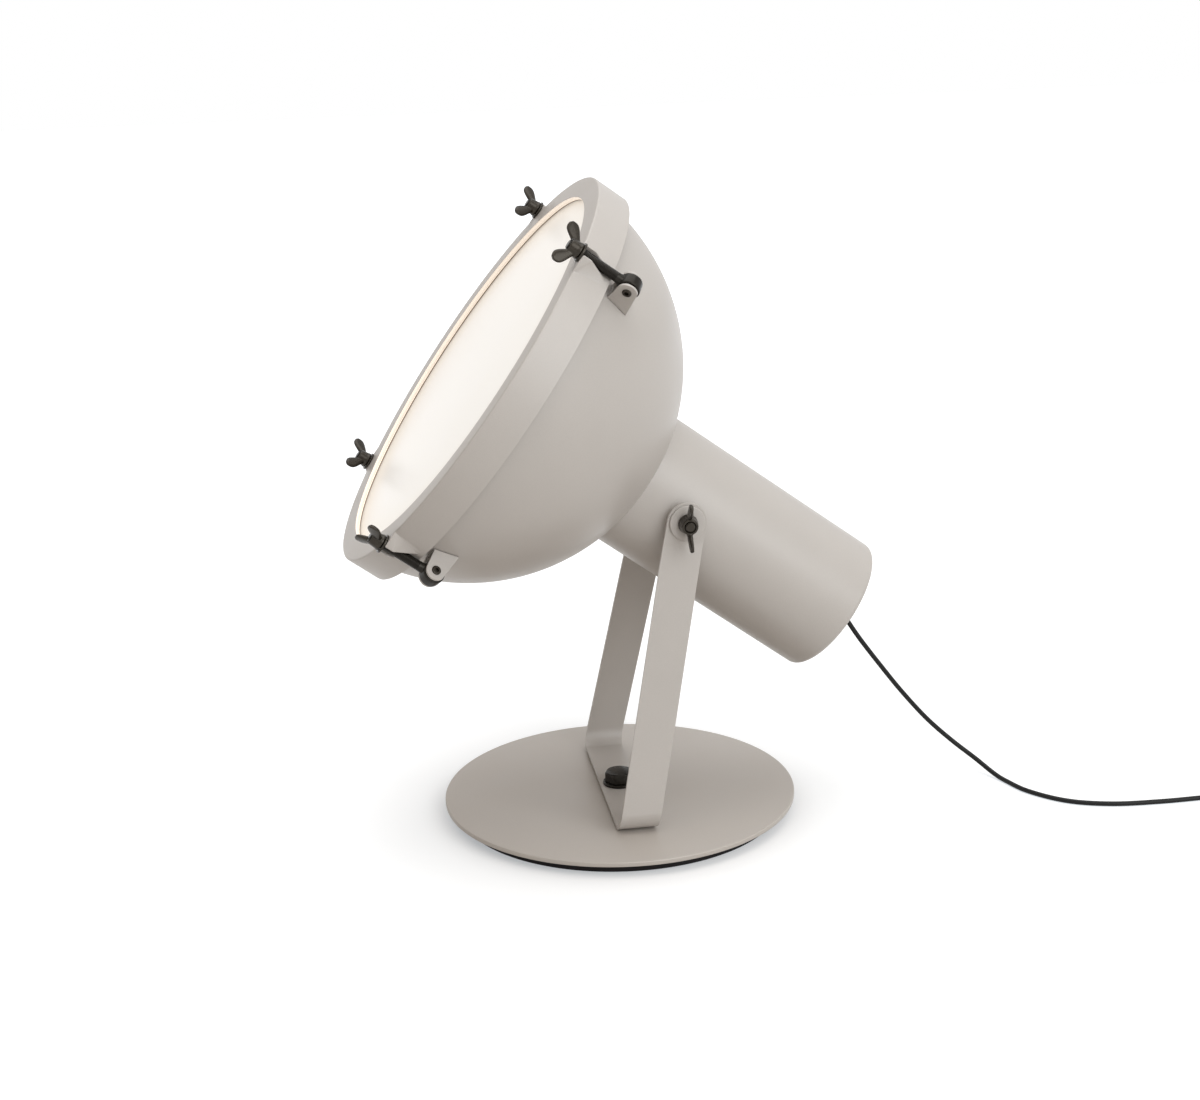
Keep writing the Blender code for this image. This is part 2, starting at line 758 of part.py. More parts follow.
def lug_mesh():
    """A bent sheet lug on the bowl, with its pin on the origin, Z ahead and X outward."""
    pin_ahead = ring_front_ahead - clamp_pin_behind_ring - bowl_centre
    surface = math.sqrt(bowl_radius**2 - pin_ahead**2) - clamp_bolt_circle
    slope = -pin_ahead / math.sqrt(bowl_radius**2 - pin_ahead**2)
    half_in = eye_width / 2 + eye_side_gap
    half_out = half_in + lug_sheet
    deep = surface - lug_foot_behind
    outline = [(deep, lug_foot_ahead), (deep, -lug_foot_behind)]
    outline += arc(0, 0, lug_top_radius, lug_top_first_angle, lug_top_last_angle, lug_top_segments)
    lug = extruded("lug", outline, -half_out, half_out, "XZ")

    web_top = surface + lug_sheet + seat_gap
    ahead = lug_foot_ahead + overrun
    behind = -lug_foot_behind - overrun
    high = lug_top_radius + overrun
    slot = [
        (web_top + slope * ahead, ahead),
        (web_top + slope * behind, behind),
        (high, behind),
        (high, ahead),
    ]
    lug = combined(lug, extruded("slot", slot, -half_in, half_in, "XZ"), "DIFFERENCE")
    bore = disc("bore", clamp_pin_radius + seat_gap, -half_out - overrun, half_out + overrun)
    lug = combined(lug, moved_mesh(bore, turn("X", 90)), "DIFFERENCE")
    outer_bowl = [(0, bowl_centre - bowl_radius)] + bowl_outline(seat_gap) + [(0, flange_back)]
    bowl_room = turned("bowl_room", outer_bowl, round_steps)
    bowl_room = moved_mesh(bowl_room, clamp_place(clamp_angles["top_near"]).inverted())
    return combined(lug, bowl_room, "DIFFERENCE")


def clamp_pin_mesh():
    """The lug's pin along Z, with its head on the +Z side."""
    reach = eye_width / 2 + eye_side_gap + lug_sheet
    return turned("clamp_pin", [
        (0, -reach),
        (clamp_pin_radius, -reach),
        (clamp_pin_radius, reach + seat_gap),
        (clamp_pin_head_radius, reach + seat_gap),
        (clamp_pin_head_radius, reach + seat_gap + clamp_pin_head_height),
        (0, reach + seat_gap + clamp_pin_head_height),
    ], small_steps)


def build_clamps(head):
    """Four rim clamps. Each guide's origin is the lug's pin, with Z ahead and X outward."""
    washer_low = clamp_pin_behind_ring + running_gap
    nut_low = washer_low + clamp_washer_thickness + seat_gap
    eye = moved_mesh(disc("swing_bolt", eye_radius, -eye_width / 2, eye_width / 2), turn("X", 90))
    shank = disc("shank", clamp_bolt_radius, 0, nut_low + clamp_nut_hub_height + bolt_end_above_hub)
    eye_bore = disc("bore", clamp_pin_radius + running_gap, -eye_width, eye_width)
    bolt = combined(eye, shank, "UNION")
    bolt = combined(bolt, moved_mesh(eye_bore, turn("X", 90)), "DIFFERENCE")
    lug = lug_mesh()
    pin = clamp_pin_mesh()
    ring = washer("clamp_washer", clamp_bolt_radius + running_gap, clamp_washer_radius,
                  washer_low, washer_low + clamp_washer_thickness)
    nut = wing_nut_mesh("clamp_nut", clamp_nut_base_radius, clamp_nut_top_radius, clamp_nut_hub_height,
                        clamp_nut_height, clamp_nut_half_span, clamp_nut_lobe_radius,
                        clamp_nut_wing_thickness, clamp_bolt_radius + running_gap)
    for name, angle in clamp_angles.items():
        guide = make_empty("clamp_" + name, head, clamp_place(angle))
        head_side = 90 if abs(angle) < math.pi / 2 else -90
        nut_place = shift(0, 0, nut_low) @ turn("Z", clamp_nut_turns[name])
        make_object("lug_" + name, lug, paint("lug_paint_" + name), guide)
        make_object("lug_pin_" + name, pin, blackened("pin_black_" + name), guide, turn("X", head_side))
        make_object("swing_bolt_" + name, bolt, blackened("bolt_black_" + name), guide)
        make_object("clamp_washer_" + name, ring, blackened("washer_black_" + name), guide)
        make_object("clamp_nut_" + name, nut, blackened("nut_black_" + name), guide, nut_place)


# Lamp fittings inside the head

def build_lamp(head):
    """The bracket, lampholder, bulb and terminal block, from the back to the front."""
    bracket_radius = drum_radius - drum_wall - seat_gap
    bracket_top = bracket_ahead + bracket_thickness
    bracket = washer("lamp_bracket", cord_radius + running_gap, bracket_radius,
                     bracket_ahead, bracket_top, round_steps)
    make_object("lamp_bracket", bracket, make_material("bracket_zinc", zinc_colour, 0.4, 0.8), head)

    low = bracket_top + seat_gap
    holder = turned("lampholder", [
        (0, low),
        (holder_radius, low),
        (holder_radius, low + holder_length),
        (holder_bore_radius, low + holder_length),
        (holder_bore_radius, low + holder_floor),
        (0, low + holder_floor),
    ], small_steps)
    make_object("lampholder", holder, plastic("holder_plastic"), head)

    cap_low = low + holder_floor + seat_gap
    cap = disc("bulb_cap", cap_radius, cap_low, cap_low + cap_length)
    make_object("bulb_cap", cap, make_material("cap_zinc", zinc_colour, 0.3, 0.9), head)

    glass_low = cap_low + cap_length + seat_gap
    tip = cap_low + bulb_length
    middle = tip - bulb_radius
    neck_end = glass_low + (middle - glass_low) * bulb_neck_share
    inner_neck = bulb_neck_radius - bulb_wall
    outer = [(bulb_neck_radius, glass_low), (bulb_neck_radius, neck_end)]
    outer += arc(0, middle, bulb_radius, bulb_shoulder_angle, 90, bulb_segments)
    inner = arc(0, middle, bulb_radius - bulb_wall, 90, bulb_shoulder_angle, bulb_segments)
    inner += [(inner_neck, neck_end), (inner_neck, glass_low)]
    outer[-1] = (0, tip)
    inner[0] = (0, tip - bulb_wall)
    bulb = turned("bulb_glass", outer + inner, small_steps)
    make_object("bulb_glass", bulb, make_material("bulb_glass", glass_colour, 0.2), head)

    block = extruded("terminal_block", rounded_box_outline(block_width, block_height, block_corner, 2),
                     bracket_ahead - seat_gap - block_length, bracket_ahead - seat_gap)
    make_object("terminal_block", block, plastic("block_plastic"), head)


# Cord

def smooth_points(route, spacing):
    """Points at an even spacing along one smooth curve through the route's own points."""
    places = [Vector(point) for point in route]
    padded = [places[0] * 2 - places[1]] + places + [places[-1] * 2 - places[-2]]
    fine = []
    for index in range(len(places) - 1):
        before, start, end, after = padded[index:index + 4]
        for step in range(curve_steps):
            share = step / curve_steps
            bend = (before * -1 + start * 3 - end * 3 + after) * share**3
            sag = (before * 2 - start * 5 + end * 4 - after) * share**2
            fine.append((start * 2 + (end - before) * share + sag + bend) / 2)
    fine.append(places[-1])
    total = sum((b - a).length for a, b in zip(fine, fine[1:]))
    count = max(2, round(total / spacing))
    points = [fine[0]]
    travelled = 0.0
    for first, second in zip(fine, fine[1:]):
        length = (second - first).length
        while len(points) < count and travelled + length >= total * len(points) / count:
            share = (total * len(points) / count - travelled) / length
            points.append(first.lerp(second, share))
        travelled += length
    points.append(fine[-1])
    return points


def cord_object(name, points, resolution, parent, material):
    """A round cord as a poly curve with a filled bevel."""
    curve = bpy.data.curves.new(name, "CURVE")
    curve.dimensions = "3D"
    curve.bevel_depth = cord_radius
    curve.bevel_resolution = resolution
    curve.use_fill_caps = True
    spline = curve.splines.new("POLY")
    spline.points.add(len(points) - 1)
    for point, place in zip(spline.points, points):
        point.co = (*place, 1.0)
    curve.materials.append(material)
    cord = bpy.data.objects.new(name, curve)
    bpy.context.collection.objects.link(cord)
    cord.parent = parent


def build_gland(head):
    """The cord's gland on the drum's end, its nut and the cord inside the drum."""
    dome_start = gland_face - gland_flange_thickness
    gland = turned("cord_gland", [
        (cord_radius + seat_gap, gland_face + gland_inner_length),
        (gland_thread_radius, gland_face + gland_inner_length),
        (gland_thread_radius, gland_face),
        (gland_flange_radius, gland_face),
        (gland_flange_radius, dome_start),
        (gland_dome_radius, dome_start),
        (gland_dome_radius * gland_shoulder_width_share,
         dome_start - gland_dome_length * gland_shoulder_height_share),
        (cord_radius * gland_mouth_share, dome_start - gland_dome_length),
        (0, dome_start - gland_dome_length),
        (0, dome_start),
        (cord_radius + seat_gap, dome_start),
    ], small_steps)
    make_object("cord_gland", gland, plastic("gland_plastic"), head)
    nut_low = -drum_length_behind + drum_wall + seat_gap
    nut = washer("gland_nut", gland_thread_radius + seat_gap, gland_nut_radius,
                 nut_low, nut_low + gland_nut_thickness)
    make_object("gland_nut", nut, plastic("gland_nut_plastic"), head)

    inner_start = dome_start + seat_gap
    inner_end = bracket_ahead - seat_gap - block_length - seat_gap
    points = []
    for index in range(inner_cord_pieces + 1):
        points.append((0, 0, inner_start + (inner_end - inner_start) * index / inner_cord_pieces))
    cord_object("cord_inner", points, 2, head, make_material("cord_inner_black", plastic_colour, 0.6))


def coil_points(centre_x, centre_y):
    """Two flat layers of loops: a spiral in on the floor, then a spiral out on top of it."""
    layer = coil_turns_per_layer * math.tau
    low = cord_radius + floor_gap + coil_lift
    widest = coil_inner_radius + coil_pitch * coil_turns_per_layer
    count = round(2 * coil_turns_per_layer * coil_points_per_turn)
    points = []
    for index in range(count + 1):
        angle = 2 * layer * index / count
        radius = coil_inner_radius + coil_pitch * abs(angle - layer) / math.tau
        climb = min(max((angle - layer) / math.pi + 0.5, 0.0), 1.0)
        direction = angle - math.pi / 2
        points.append(Vector((
            centre_x + radius * math.cos(direction),
            centre_y + radius * math.sin(direction),
            low + coil_layer_height * climb,
        )))
    diameter = 2 * cord_radius
    points.insert(0, Vector((centre_x - diameter, centre_y - widest, low)))
    points.append(Vector((centre_x - diameter, centre_y + widest, low + coil_layer_height)))
    return points


def least_gap(points):
    """The least gap between the coil's loops, measured on its points."""
    apart = coil_points_per_turn // 2
    least = math.inf
    for index, first in enumerate(points):
        for second in points[index + apart:]:
            least = min(least, (first - second).length)
    return least - 2 * cord_radius


def build_cord(guide):
    """The cord in four pieces, with the switch, the tie and the plug on it."""
    black = {}
    for name in ("cord_lead", "cord_tail", "cord_coil", "cord_end"):
        black[name] = make_material(name + "_black", plastic_colour, 0.55)
    diameter = 2 * cord_radius
    on_floor = cord_radius + floor_gap
    axis = Vector((-math.cos(head_tilt), 0, math.sin(head_tilt)))
    leaves = Vector((pivot_behind_swivel, 0, pivot_height)) - axis * cord_exit_behind
    switch_start = cord_route[-1][0] + seat_gap
    straight = leaves - axis * diameter
    lead_points = smooth_points([leaves, straight] + cord_route, diameter * lead_spacing_share)
    for point in lead_points:
        point.z = max(point.z, on_floor)
    lead_points.insert(1, straight)
    cord_object("cord_lead", lead_points, 3, guide, black["cord_lead"])

    lane = cord_route[-1][1]
    switch_end = switch_start + switch_length
    widest = coil_inner_radius + coil_pitch * coil_turns_per_layer
    coil_centre_y = lane + widest
    coil_start = coil_centre_x - diameter
    low = cord_radius + floor_gap + coil_lift
    tail = [
        (switch_end + seat_gap, lane, on_floor),
        (switch_end + diameter, lane, on_floor),
        ((switch_end + coil_start) / 2, lane, on_floor),
        (coil_start - diameter, lane, low),
        (coil_start - seat_gap, lane, low),
    ]
    tail_points = smooth_points(tail, diameter * tail_spacing_share)
    cord_object("cord_tail", tail_points, 3, guide, black["cord_tail"])

    coil = coil_points(coil_centre_x, coil_centre_y)
    cord_object("cord_coil", coil, 1, guide, black["cord_coil"])
    print("least gap between the coil's loops:", round(least_gap(coil), 5))

    end_height = low + coil_layer_height
    end_lane = coil_centre_y + widest
    end_start = coil_start - seat_gap
    end_stop = end_start - cord_end_length
    first = Vector((end_start, end_lane, end_height))
    last = Vector((end_stop, end_lane, end_height))
    end_points = [first.lerp(last, index / cord_end_pieces) for index in range(cord_end_pieces + 1)]
    cord_object("cord_end", end_points, 3, guide, black["cord_end"])
    build_switch(guide, switch_start + switch_length / 2, lane)
    build_tie(guide, coil_centre_y)
    build_plug(guide, end_stop - seat_gap, end_lane, end_height)


def build_switch(guide, x, y):
    """The in-line switch: two shells and a rocker that is shown pressed down at one end."""
    place = shift(x, y, 0)
    joint = switch_low_height
    outline = rounded_box_outline(switch_length, switch_width, switch_corner, 4)
    low = extruded("switch_base", outline, floor_gap, joint - seat_gap)
    high = extruded("switch_cover", outline, joint, joint + switch_high_height)
    window = rounded_box_outline(rocker_length + 2 * running_gap, rocker_width + 2 * running_gap,
                                 rocker_window_corner, 2)
    room = extruded("window", window, joint - overrun, joint + switch_high_height + overrun)
    high = combined(high, room, "DIFFERENCE")
    make_object("switch_base", low, plastic("switch_base_plastic"), guide, place)
    make_object("switch_cover", high, plastic("switch_cover_plastic"), guide, place)

    half = rocker_length / 2 - seat_gap
    rise = half * math.tan(rocker_throw)
    keel = half * rocker_keel_half_share
    outline = [
        (half, rise),
        (0, 0),
        (-half, rise),
        (-half, -rocker_skirt),
        (-keel, -rocker_skirt),
        (0, -rocker_keel),
        (keel, -rocker_skirt),
        (half, -rocker_skirt),
    ]
    rocker = extruded("switch_rocker", outline, -rocker_width / 2, rocker_width / 2, "XZ")
    pressed = turn("Y", math.degrees(rocker_throw))
    axis_height = joint + switch_high_height + rocker_proud
    make_object("switch_rocker", rocker, plastic("rocker_plastic"), guide,
                shift(x, y, axis_height) @ pressed)


def build_tie(guide, coil_centre_y):
    """A flat strap round all the loops on the side where the spiral doesn't reverse."""
    diameter = 2 * cord_radius
    inner = coil_inner_radius - cord_radius - seat_gap
    outer = coil_inner_radius + coil_pitch * coil_turns_per_layer + cord_radius + seat_gap
    low = floor_gap
    high = floor_gap + coil_lift + diameter + coil_layer_height + seat_gap
    hole = [(inner, low + tie_strap), (outer, low + tie_strap), (outer, high), (inner, high)]
    strap = [
        (inner - tie_strap, low),
        (outer + tie_strap, low),
        (outer + tie_strap, high + tie_strap),
        (inner - tie_strap, high + tie_strap),
    ]
    band = extruded("cord_tie", strap, -tie_width / 2, tie_width / 2, "XZ")
    band = combined(band, extruded("hole", hole, -tie_width, tie_width, "XZ"), "DIFFERENCE")
    make_object("cord_tie", band, make_material("tie_black", rubber_colour, 0.8), guide,
                shift(coil_centre_x, coil_centre_y, 0))


def build_plug(guide, x, y, height):
    """A flat two-pin plug that lies beside the coil, its pins pointing towards -X."""
    place = shift(x, y, height)
    half_wide = plug_width / 2
    half_nose = plug_nose_width / 2 * plug_nose_narrow_share
    shoulder = plug_length * plug_shoulder_share
    outline = [
        (0, half_nose),
        (-shoulder, half_wide),
        (-plug_length, half_wide),
        (-plug_length, -half_wide),
        (-shoulder, -half_wide),
        (0, -half_nose),
    ]
    thick = height - floor_gap
    body = extruded("plug_body", outline, -thick, thick)
    make_object("plug_body", body, plastic("plug_plastic"), guide, place)
    for name, side in (("left", 1), ("right", -1)):
        pin = disc("plug_pin", plug_pin_radius, 0, plug_pin_length, pin_steps)
        pin = moved_mesh(pin, turn("Y", -90))
        spot = place @ shift(-plug_length - seat_gap, side * plug_pin_spacing / 2, 0)
        make_object("plug_pin_" + name, pin, make_material("pin_zinc_" + name, zinc_colour, 0.3, 0.9),
                    guide, spot)


def build_floor_lamp():
    """Clear the scene and build every piece under its own guide."""
    clear_scene()
    build_base()
    swivel = make_empty("swivel_axis")
    build_fork(swivel)
    head = make_empty("tilt_axis", swivel, shift(pivot_behind_swivel, 0, pivot_height)
                      @ Matrix.Rotation(head_tilt - math.pi / 2, 4, "Y"))
    build_bowl(head)
    build_drum(head)
    build_ring(head)
    build_glass(head)
    build_pivots(head)
    build_clamps(head)
    build_lamp(head)
    build_gland(head)
    build_cord(swivel)


build_floor_lamp()
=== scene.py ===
import json
import math

import bmesh
import bpy
from mathutils import Matrix, Vector


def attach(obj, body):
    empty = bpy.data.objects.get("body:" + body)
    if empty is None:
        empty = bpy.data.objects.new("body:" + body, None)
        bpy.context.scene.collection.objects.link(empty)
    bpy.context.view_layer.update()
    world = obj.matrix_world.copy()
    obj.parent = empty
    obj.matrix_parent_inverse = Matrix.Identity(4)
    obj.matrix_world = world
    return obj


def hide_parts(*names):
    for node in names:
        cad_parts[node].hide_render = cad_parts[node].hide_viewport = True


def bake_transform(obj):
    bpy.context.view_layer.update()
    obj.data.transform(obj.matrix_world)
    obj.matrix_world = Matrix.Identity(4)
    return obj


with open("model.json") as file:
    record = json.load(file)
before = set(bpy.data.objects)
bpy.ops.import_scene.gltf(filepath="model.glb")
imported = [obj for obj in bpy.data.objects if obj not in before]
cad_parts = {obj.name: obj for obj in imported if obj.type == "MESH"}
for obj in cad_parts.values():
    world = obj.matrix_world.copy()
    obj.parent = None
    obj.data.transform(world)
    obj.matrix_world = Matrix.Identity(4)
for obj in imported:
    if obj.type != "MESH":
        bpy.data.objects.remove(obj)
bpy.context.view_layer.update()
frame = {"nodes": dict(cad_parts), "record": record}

# Sizes shared with the part's source, in metres
seat_gap = 0.0003
base_radius = 0.151
plate_bottom = 0.0092
plate_top = 0.0134
pad_thickness = 0.0089
pad_inset = 0.0112
web_bottom = 0.0148
bar_width = 0.033
bar_thickness = 0.003
bar_inner_bend = 0.012
fork_half_span_low = 0.1032
fork_half_span_high = 0.0695
upright_below_pivot = 0.0185
pivot_height = 0.2679
pivot_behind_swivel = 0.0507
head_tilt = math.radians(36.7)
bowl_radius = 0.174
bowl_wall = 0.0015
bowl_centre = 0.2054
drum_radius = 0.0597
drum_wall = 0.0015
drum_back = -0.1698
drum_front = 0.048
ring_front = 0.207
ring_radius = 0.1825
ring_wall = 0.002
ring_depth = 0.0296
opening_radius = 0.1625
glass_radius = 0.168
glass_front = 0.2015
glass_back = 0.1965
flange_front = 0.1940
clamp_angles = {"top_near": 45, "top_far": -45, "low_near": 135, "low_far": -135}
clamp_nut_turns = {"top_near": 76, "top_far": 4, "low_near": 81, "low_far": 103}
clamp_bolt_circle = 0.187
clamp_pin_behind_ring = 0.0435
clamp_bolt_radius = 0.004
clamp_nut_seat = 0.0457
eye_width = 0.0095
pin_bore = 0.0033
stud_radius = 0.004
pivot_nut_seat = 0.0721
nut_bore = 0.0043
swivel_bore = 0.0073
swivel_nut_room = 0.0133
swivel_nut_room_floor = 0.0021
swivel_head_low = 0.0206
swivel_head_high = 0.0294
swivel_head_flats = 0.022
gland_bore = 0.0063
plug_length = 0.036
plug_nose_length = 0.0162
plug_half_width = 0.012
cord_radius = 0.0021
floor_gap = 0.0003
switch_length = 0.058
switch_width = 0.026
coil_turns_per_layer = 3.75
coil_inner_radius = 0.0163
coil_pitch = 0.0047
coil_layer_height = 0.0047
coil_centre_x = 0.624
coil_lift = 0.0009
cord_end_length = 0.026
gland_exit_behind = 0.1794

# How fine the meshes are: angles in degrees, distances in metres
merge_distance = 0.000008
sharp_angle = 34
straight_angle = 172
cord_sharp_angle = 50
corner_share = 0.45
round_steps = 224
plate_steps = 200
bowl_steps = 44
bore_steps = 48
wing_steps = 16
curve_steps = 24
coil_steps = 48

cord_route = [
    (0.2138, 0.001, 0.1334),
    (0.2345, 0.004, 0.1047),
    (0.2550, 0.008, 0.0776),
    (0.2788, 0.010, 0.0494),
    (0.3015, 0.008, 0.0275),
    (0.3200, 0.000, 0.0125),
    (0.3348, -0.0264, 0.0028),
    (0.3480, -0.058, 0.0024),
    (0.3740, -0.086, 0.0024),
    (0.4090, -0.100, 0.0024),
    (0.4500, -0.104, 0.0024),
    (0.4850, -0.104, 0.0024),
    (0.5040, -0.104, 0.0024),
]

head_place = (Matrix.Translation((pivot_behind_swivel, 0, pivot_height))
              @ Matrix.Rotation(head_tilt - math.pi / 2, 4, "Y"))


def turn(axis, degrees):
    return Matrix.Rotation(math.radians(degrees), 4, axis)


def shift(x, y, z):
    return Matrix.Translation((x, y, z))


# Camera at the photograph's place

camera = bpy.data.cameras.new("camera")
sensor_width = 36
photo_width = 1200
focal_length_in_pixels = 2022.6
camera.sensor_width = sensor_width
camera.lens = focal_length_in_pixels / photo_width * sensor_width
camera_object = bpy.data.objects.new("camera", camera)
bpy.context.collection.objects.link(camera_object)
right = Vector((0.98832, -0.14959, -0.02921))
up = Vector((0.07027, 0.27710, 0.95827))
ahead = Vector((0.13525, 0.94912, -0.28437))
facing = Matrix((right, up, -ahead)).transposed().to_4x4()
camera_object.matrix_world = shift(-0.2400, -1.6082, 0.7114) @ facing
bpy.context.scene.camera = camera_object


# Shader helpers

white = (1.0, 1.0, 1.0)
fleck_grey = (0.93, 0.93, 0.93)
paint_colour = (0.508, 0.478, 0.450)
gasket_brown = (0.235, 0.165, 0.115)
# Cream of the painted lamplight on the ring's opening and on the channel
lamplight_cream = (0.86, 0.765, 0.67)
paint_grain = 2600.0
soft_blotch = 25.0
grain_depth = 0.0002
glass_grain_depth = 0.0001
# Strength of the glass's painted glow
glass_glow = 0.385
# Strength of the painted lamplight's glow on the ring's opening and on the channel
lip_glow = 0.46


class Shader:
    """A node tree that is built up in steps."""

    def __init__(self, name):
        self.material = bpy.data.materials.new(name)
        self.material.use_nodes = True
        self.tree = self.material.node_tree
        self.surface = self.tree.nodes["Principled BSDF"]

    def node(self, kind, **values):
        node = self.tree.nodes.new(kind)
        for key, value in values.items():
            if hasattr(node, key):
                setattr(node, key, value)
            else:
                node.inputs[key.replace("_", " ")].default_value = value
        return node

    def link(self, start, end):
        self.tree.links.new(start, end)

    def set(self, **values):
        for key, value in values.items():
            self.surface.inputs[key.replace("_", " ")].default_value = value

    def feed(self, output, name):
        """Drive one of the surface's own inputs."""
        self.link(output, self.surface.inputs[name])

    def place(self):
        return self.node("ShaderNodeTexCoord").outputs["Object"]

    def maths(self, operation, value, other):
        """A sum of two values. The other one is a number or a socket."""
        node = self.node("ShaderNodeMath", operation=operation)
        self.link(value, node.inputs[0])
        if isinstance(other, float):
            node.inputs[1].default_value = other
        else:
            self.link(other, node.inputs[1])
        return node.outputs["Value"]

    def vector(self, operation, value, other=None, output="Vector"):
        """A sum with a vector and, where it is given, a fixed second one."""
        node = self.node("ShaderNodeVectorMath", operation=operation)
        self.link(value, node.inputs[0])
        if other is not None:
            node.inputs[1].default_value = other
        return node.outputs[output]

    def noise(self, scale, roughness=0.5):
        noise = self.node("ShaderNodeTexNoise", Scale=scale, Detail=2.0, Roughness=roughness)
        self.link(self.place(), noise.inputs["Vector"])
        return noise.outputs["Fac"]

    def ramp(self, factor, stops):
        ramp = self.node("ShaderNodeValToRGB")
        band = ramp.color_ramp
        while len(band.elements) < len(stops):
            band.elements.new(0.5)
        for element, (place, colour) in zip(band.elements, stops):
            element.position = place
            element.color = (*colour, 1.0)
        self.link(factor, ramp.inputs["Fac"])
        return ramp.outputs["Color"]

    def multiplied(self, first, second):
        mix = self.node("ShaderNodeMix", data_type="RGBA", blend_type="MULTIPLY", Factor=1.0)
        self.link(first, mix.inputs["A"])
        self.link(second, mix.inputs["B"])
        return mix.outputs["Result"]

    def levels(self, factor, low, high):
        """Spread a noise, which keeps to its middle, between two values."""
        spread = self.node("ShaderNodeMapRange", From_Min=0.3, From_Max=0.7, To_Min=low, To_Max=high)
        self.link(factor, spread.inputs["Value"])
        return spread.outputs["Result"]

    def bump(self, height, strength, distance):
        bump = self.node("ShaderNodeBump", Strength=strength, Distance=distance)
        self.link(height, bump.inputs["Height"])
        self.feed(bump.outputs["Normal"], "Normal")


def scaled(colour, factor):
    return tuple(channel * factor for channel in colour)


def coat(shader, colour, spread, blotch, grain_scale):
    """Soft blotches of tone under a fine grain: the colour, the blotches and the grain."""
    soft = shader.noise(blotch)
    grain = shader.noise(grain_scale, roughness=0.6)
    tone = shader.ramp(soft, [(0.3, scaled(colour, 1 - spread)), (0.7, scaled(colour, 1 + spread))])
    fleck = shader.ramp(grain, [(0.35, fleck_grey), (0.65, white)])
    return shader.multiplied(tone, fleck), soft, grain


materials = {}


def grained_material(name, colour, spread, roughness, grain_scale, bump, metallic=0.0,
                     blotch=soft_blotch, specular=0.5, specular_tint=white):
    """A coat with soft blotches of tone, a fine grain and roughness that varies with it."""
    shader = Shader(name)
    mixed, soft, grain = coat(shader, colour, spread, blotch, grain_scale)
    shader.feed(mixed, "Base Color")
    shader.feed(shader.levels(soft, roughness * 0.9, roughness * 1.1), "Roughness")
    shader.bump(grain, bump, grain_depth)
    shader.set(Metallic=metallic, Specular_IOR_Level=specular, Specular_Tint=(*specular_tint, 1.0))
    materials[name] = shader.material


def glass_material():
    """Frosted glass with a painted glow that stands in for the bulb's light behind it: white in the middle
    and warmer towards the rim.
    """
    shader = Shader("frosted_glass")
    middle = head_place @ Vector((0, 0, glass_front))
    away = shader.vector("DISTANCE", shader.place(), middle, "Value")
    glow = shader.ramp(shader.maths("DIVIDE", away, glass_radius), [
        (0.0, (1.0, 0.985, 0.955)),
        (0.75, (0.99, 0.968, 0.930)),
        (0.97, (0.93, 0.86, 0.76)),
    ])
    # A faint mottle in the painted glow
    glow_mottle = shader.ramp(shader.noise(18.0), [(0.3, (0.986, 0.982, 0.975)), (0.7, white)])
    shader.feed(shader.multiplied(glow, glow_mottle), "Emission Color")
    shader.set(Emission_Strength=glass_glow, Roughness=0.32, Base_Color=(0.55, 0.53, 0.50, 1.0))
    shader.bump(shader.noise(1800.0), 0.08, glass_grain_depth)
    materials["frosted_glass"] = shader.material


def lip_material(name, base, radius, height):
    """A coat with painted lamplight: it turns cream and glows where the lamp's light falls on the ring's
    opening.

    The painted cream and glow lie within a radius of the head's axis and above a height over the glass.
    """
    shader = Shader(name)
    forward = head_place.to_3x3() @ Vector((0, 0, 1))
    middle = head_place @ Vector((0, 0, glass_front))
    from_glass = shader.vector("SUBTRACT", shader.place(), middle)
    above = shader.vector("DOT_PRODUCT", from_glass, forward, "Value")
    square = shader.vector("CROSS_PRODUCT", from_glass, forward)
    out = shader.vector("LENGTH", square, output="Value")
    lit = shader.maths("MULTIPLY", shader.maths("LESS_THAN", out, radius),
                       shader.maths("GREATER_THAN", above, height))
    mixed, soft, grain = coat(shader, base, 0.015, soft_blotch, paint_grain)
    colour = shader.node("ShaderNodeMix", data_type="RGBA", blend_type="MIX")
    colour.inputs["B"].default_value = (*lamplight_cream, 1.0)
    shader.link(lit, colour.inputs["Factor"])
    shader.link(mixed, colour.inputs["A"])
    shader.feed(colour.outputs["Result"], "Base Color")
    shader.set(Emission_Color=(*lamplight_cream, 1.0))
    shader.feed(shader.maths("MULTIPLY", lit, lip_glow), "Emission Strength")
    shader.feed(shader.levels(soft, 0.36, 0.42), "Roughness")
    shader.bump(grain, 0.08, grain_depth)
    materials[name] = shader.material


# Materials: colour, spread of tone, roughness, scale of the grain and depth of its bump

grained_material("sand_paint", paint_colour, 0.012, 0.38, paint_grain, 0.08)
# The base plate's coat: a copy of the sand paint, a little warmer, rougher and with a deeper grain
grained_material("base_paint", (0.510, 0.472, 0.434), 0.012, 0.40, paint_grain, 0.10)
grained_material("black_steel", (0.018, 0.0148, 0.0110), 0.25, 0.26, 1500.0, 0.12,
                 blotch=180.0, specular=0.36, specular_tint=(1.0, 0.90, 0.78))
grained_material("dark_steel", (0.010, 0.0086, 0.0068), 0.25, 0.25, 1500.0, 0.12,
                 blotch=180.0, specular=0.22, specular_tint=(1.0, 0.92, 0.82))
grained_material("zinc_steel", (0.52, 0.52, 0.51), 0.06, 0.34, 1800.0, 0.12, metallic=0.9, blotch=90.0)
grained_material("foot_rubber", (0.012, 0.010, 0.0105), 0.15, 0.85, 1600.0, 0.35, specular=0.3)
grained_material("gasket_rubber", gasket_brown, 0.05, 0.6, 1500.0, 0.15)
grained_material("black_plastic", (0.026, 0.026, 0.027), 0.06, 0.42, 1900.0, 0.30)
grained_material("cord_black", (0.008, 0.008, 0.0077), 0.08, 0.42, 700.0, 0.10, specular=0.2)
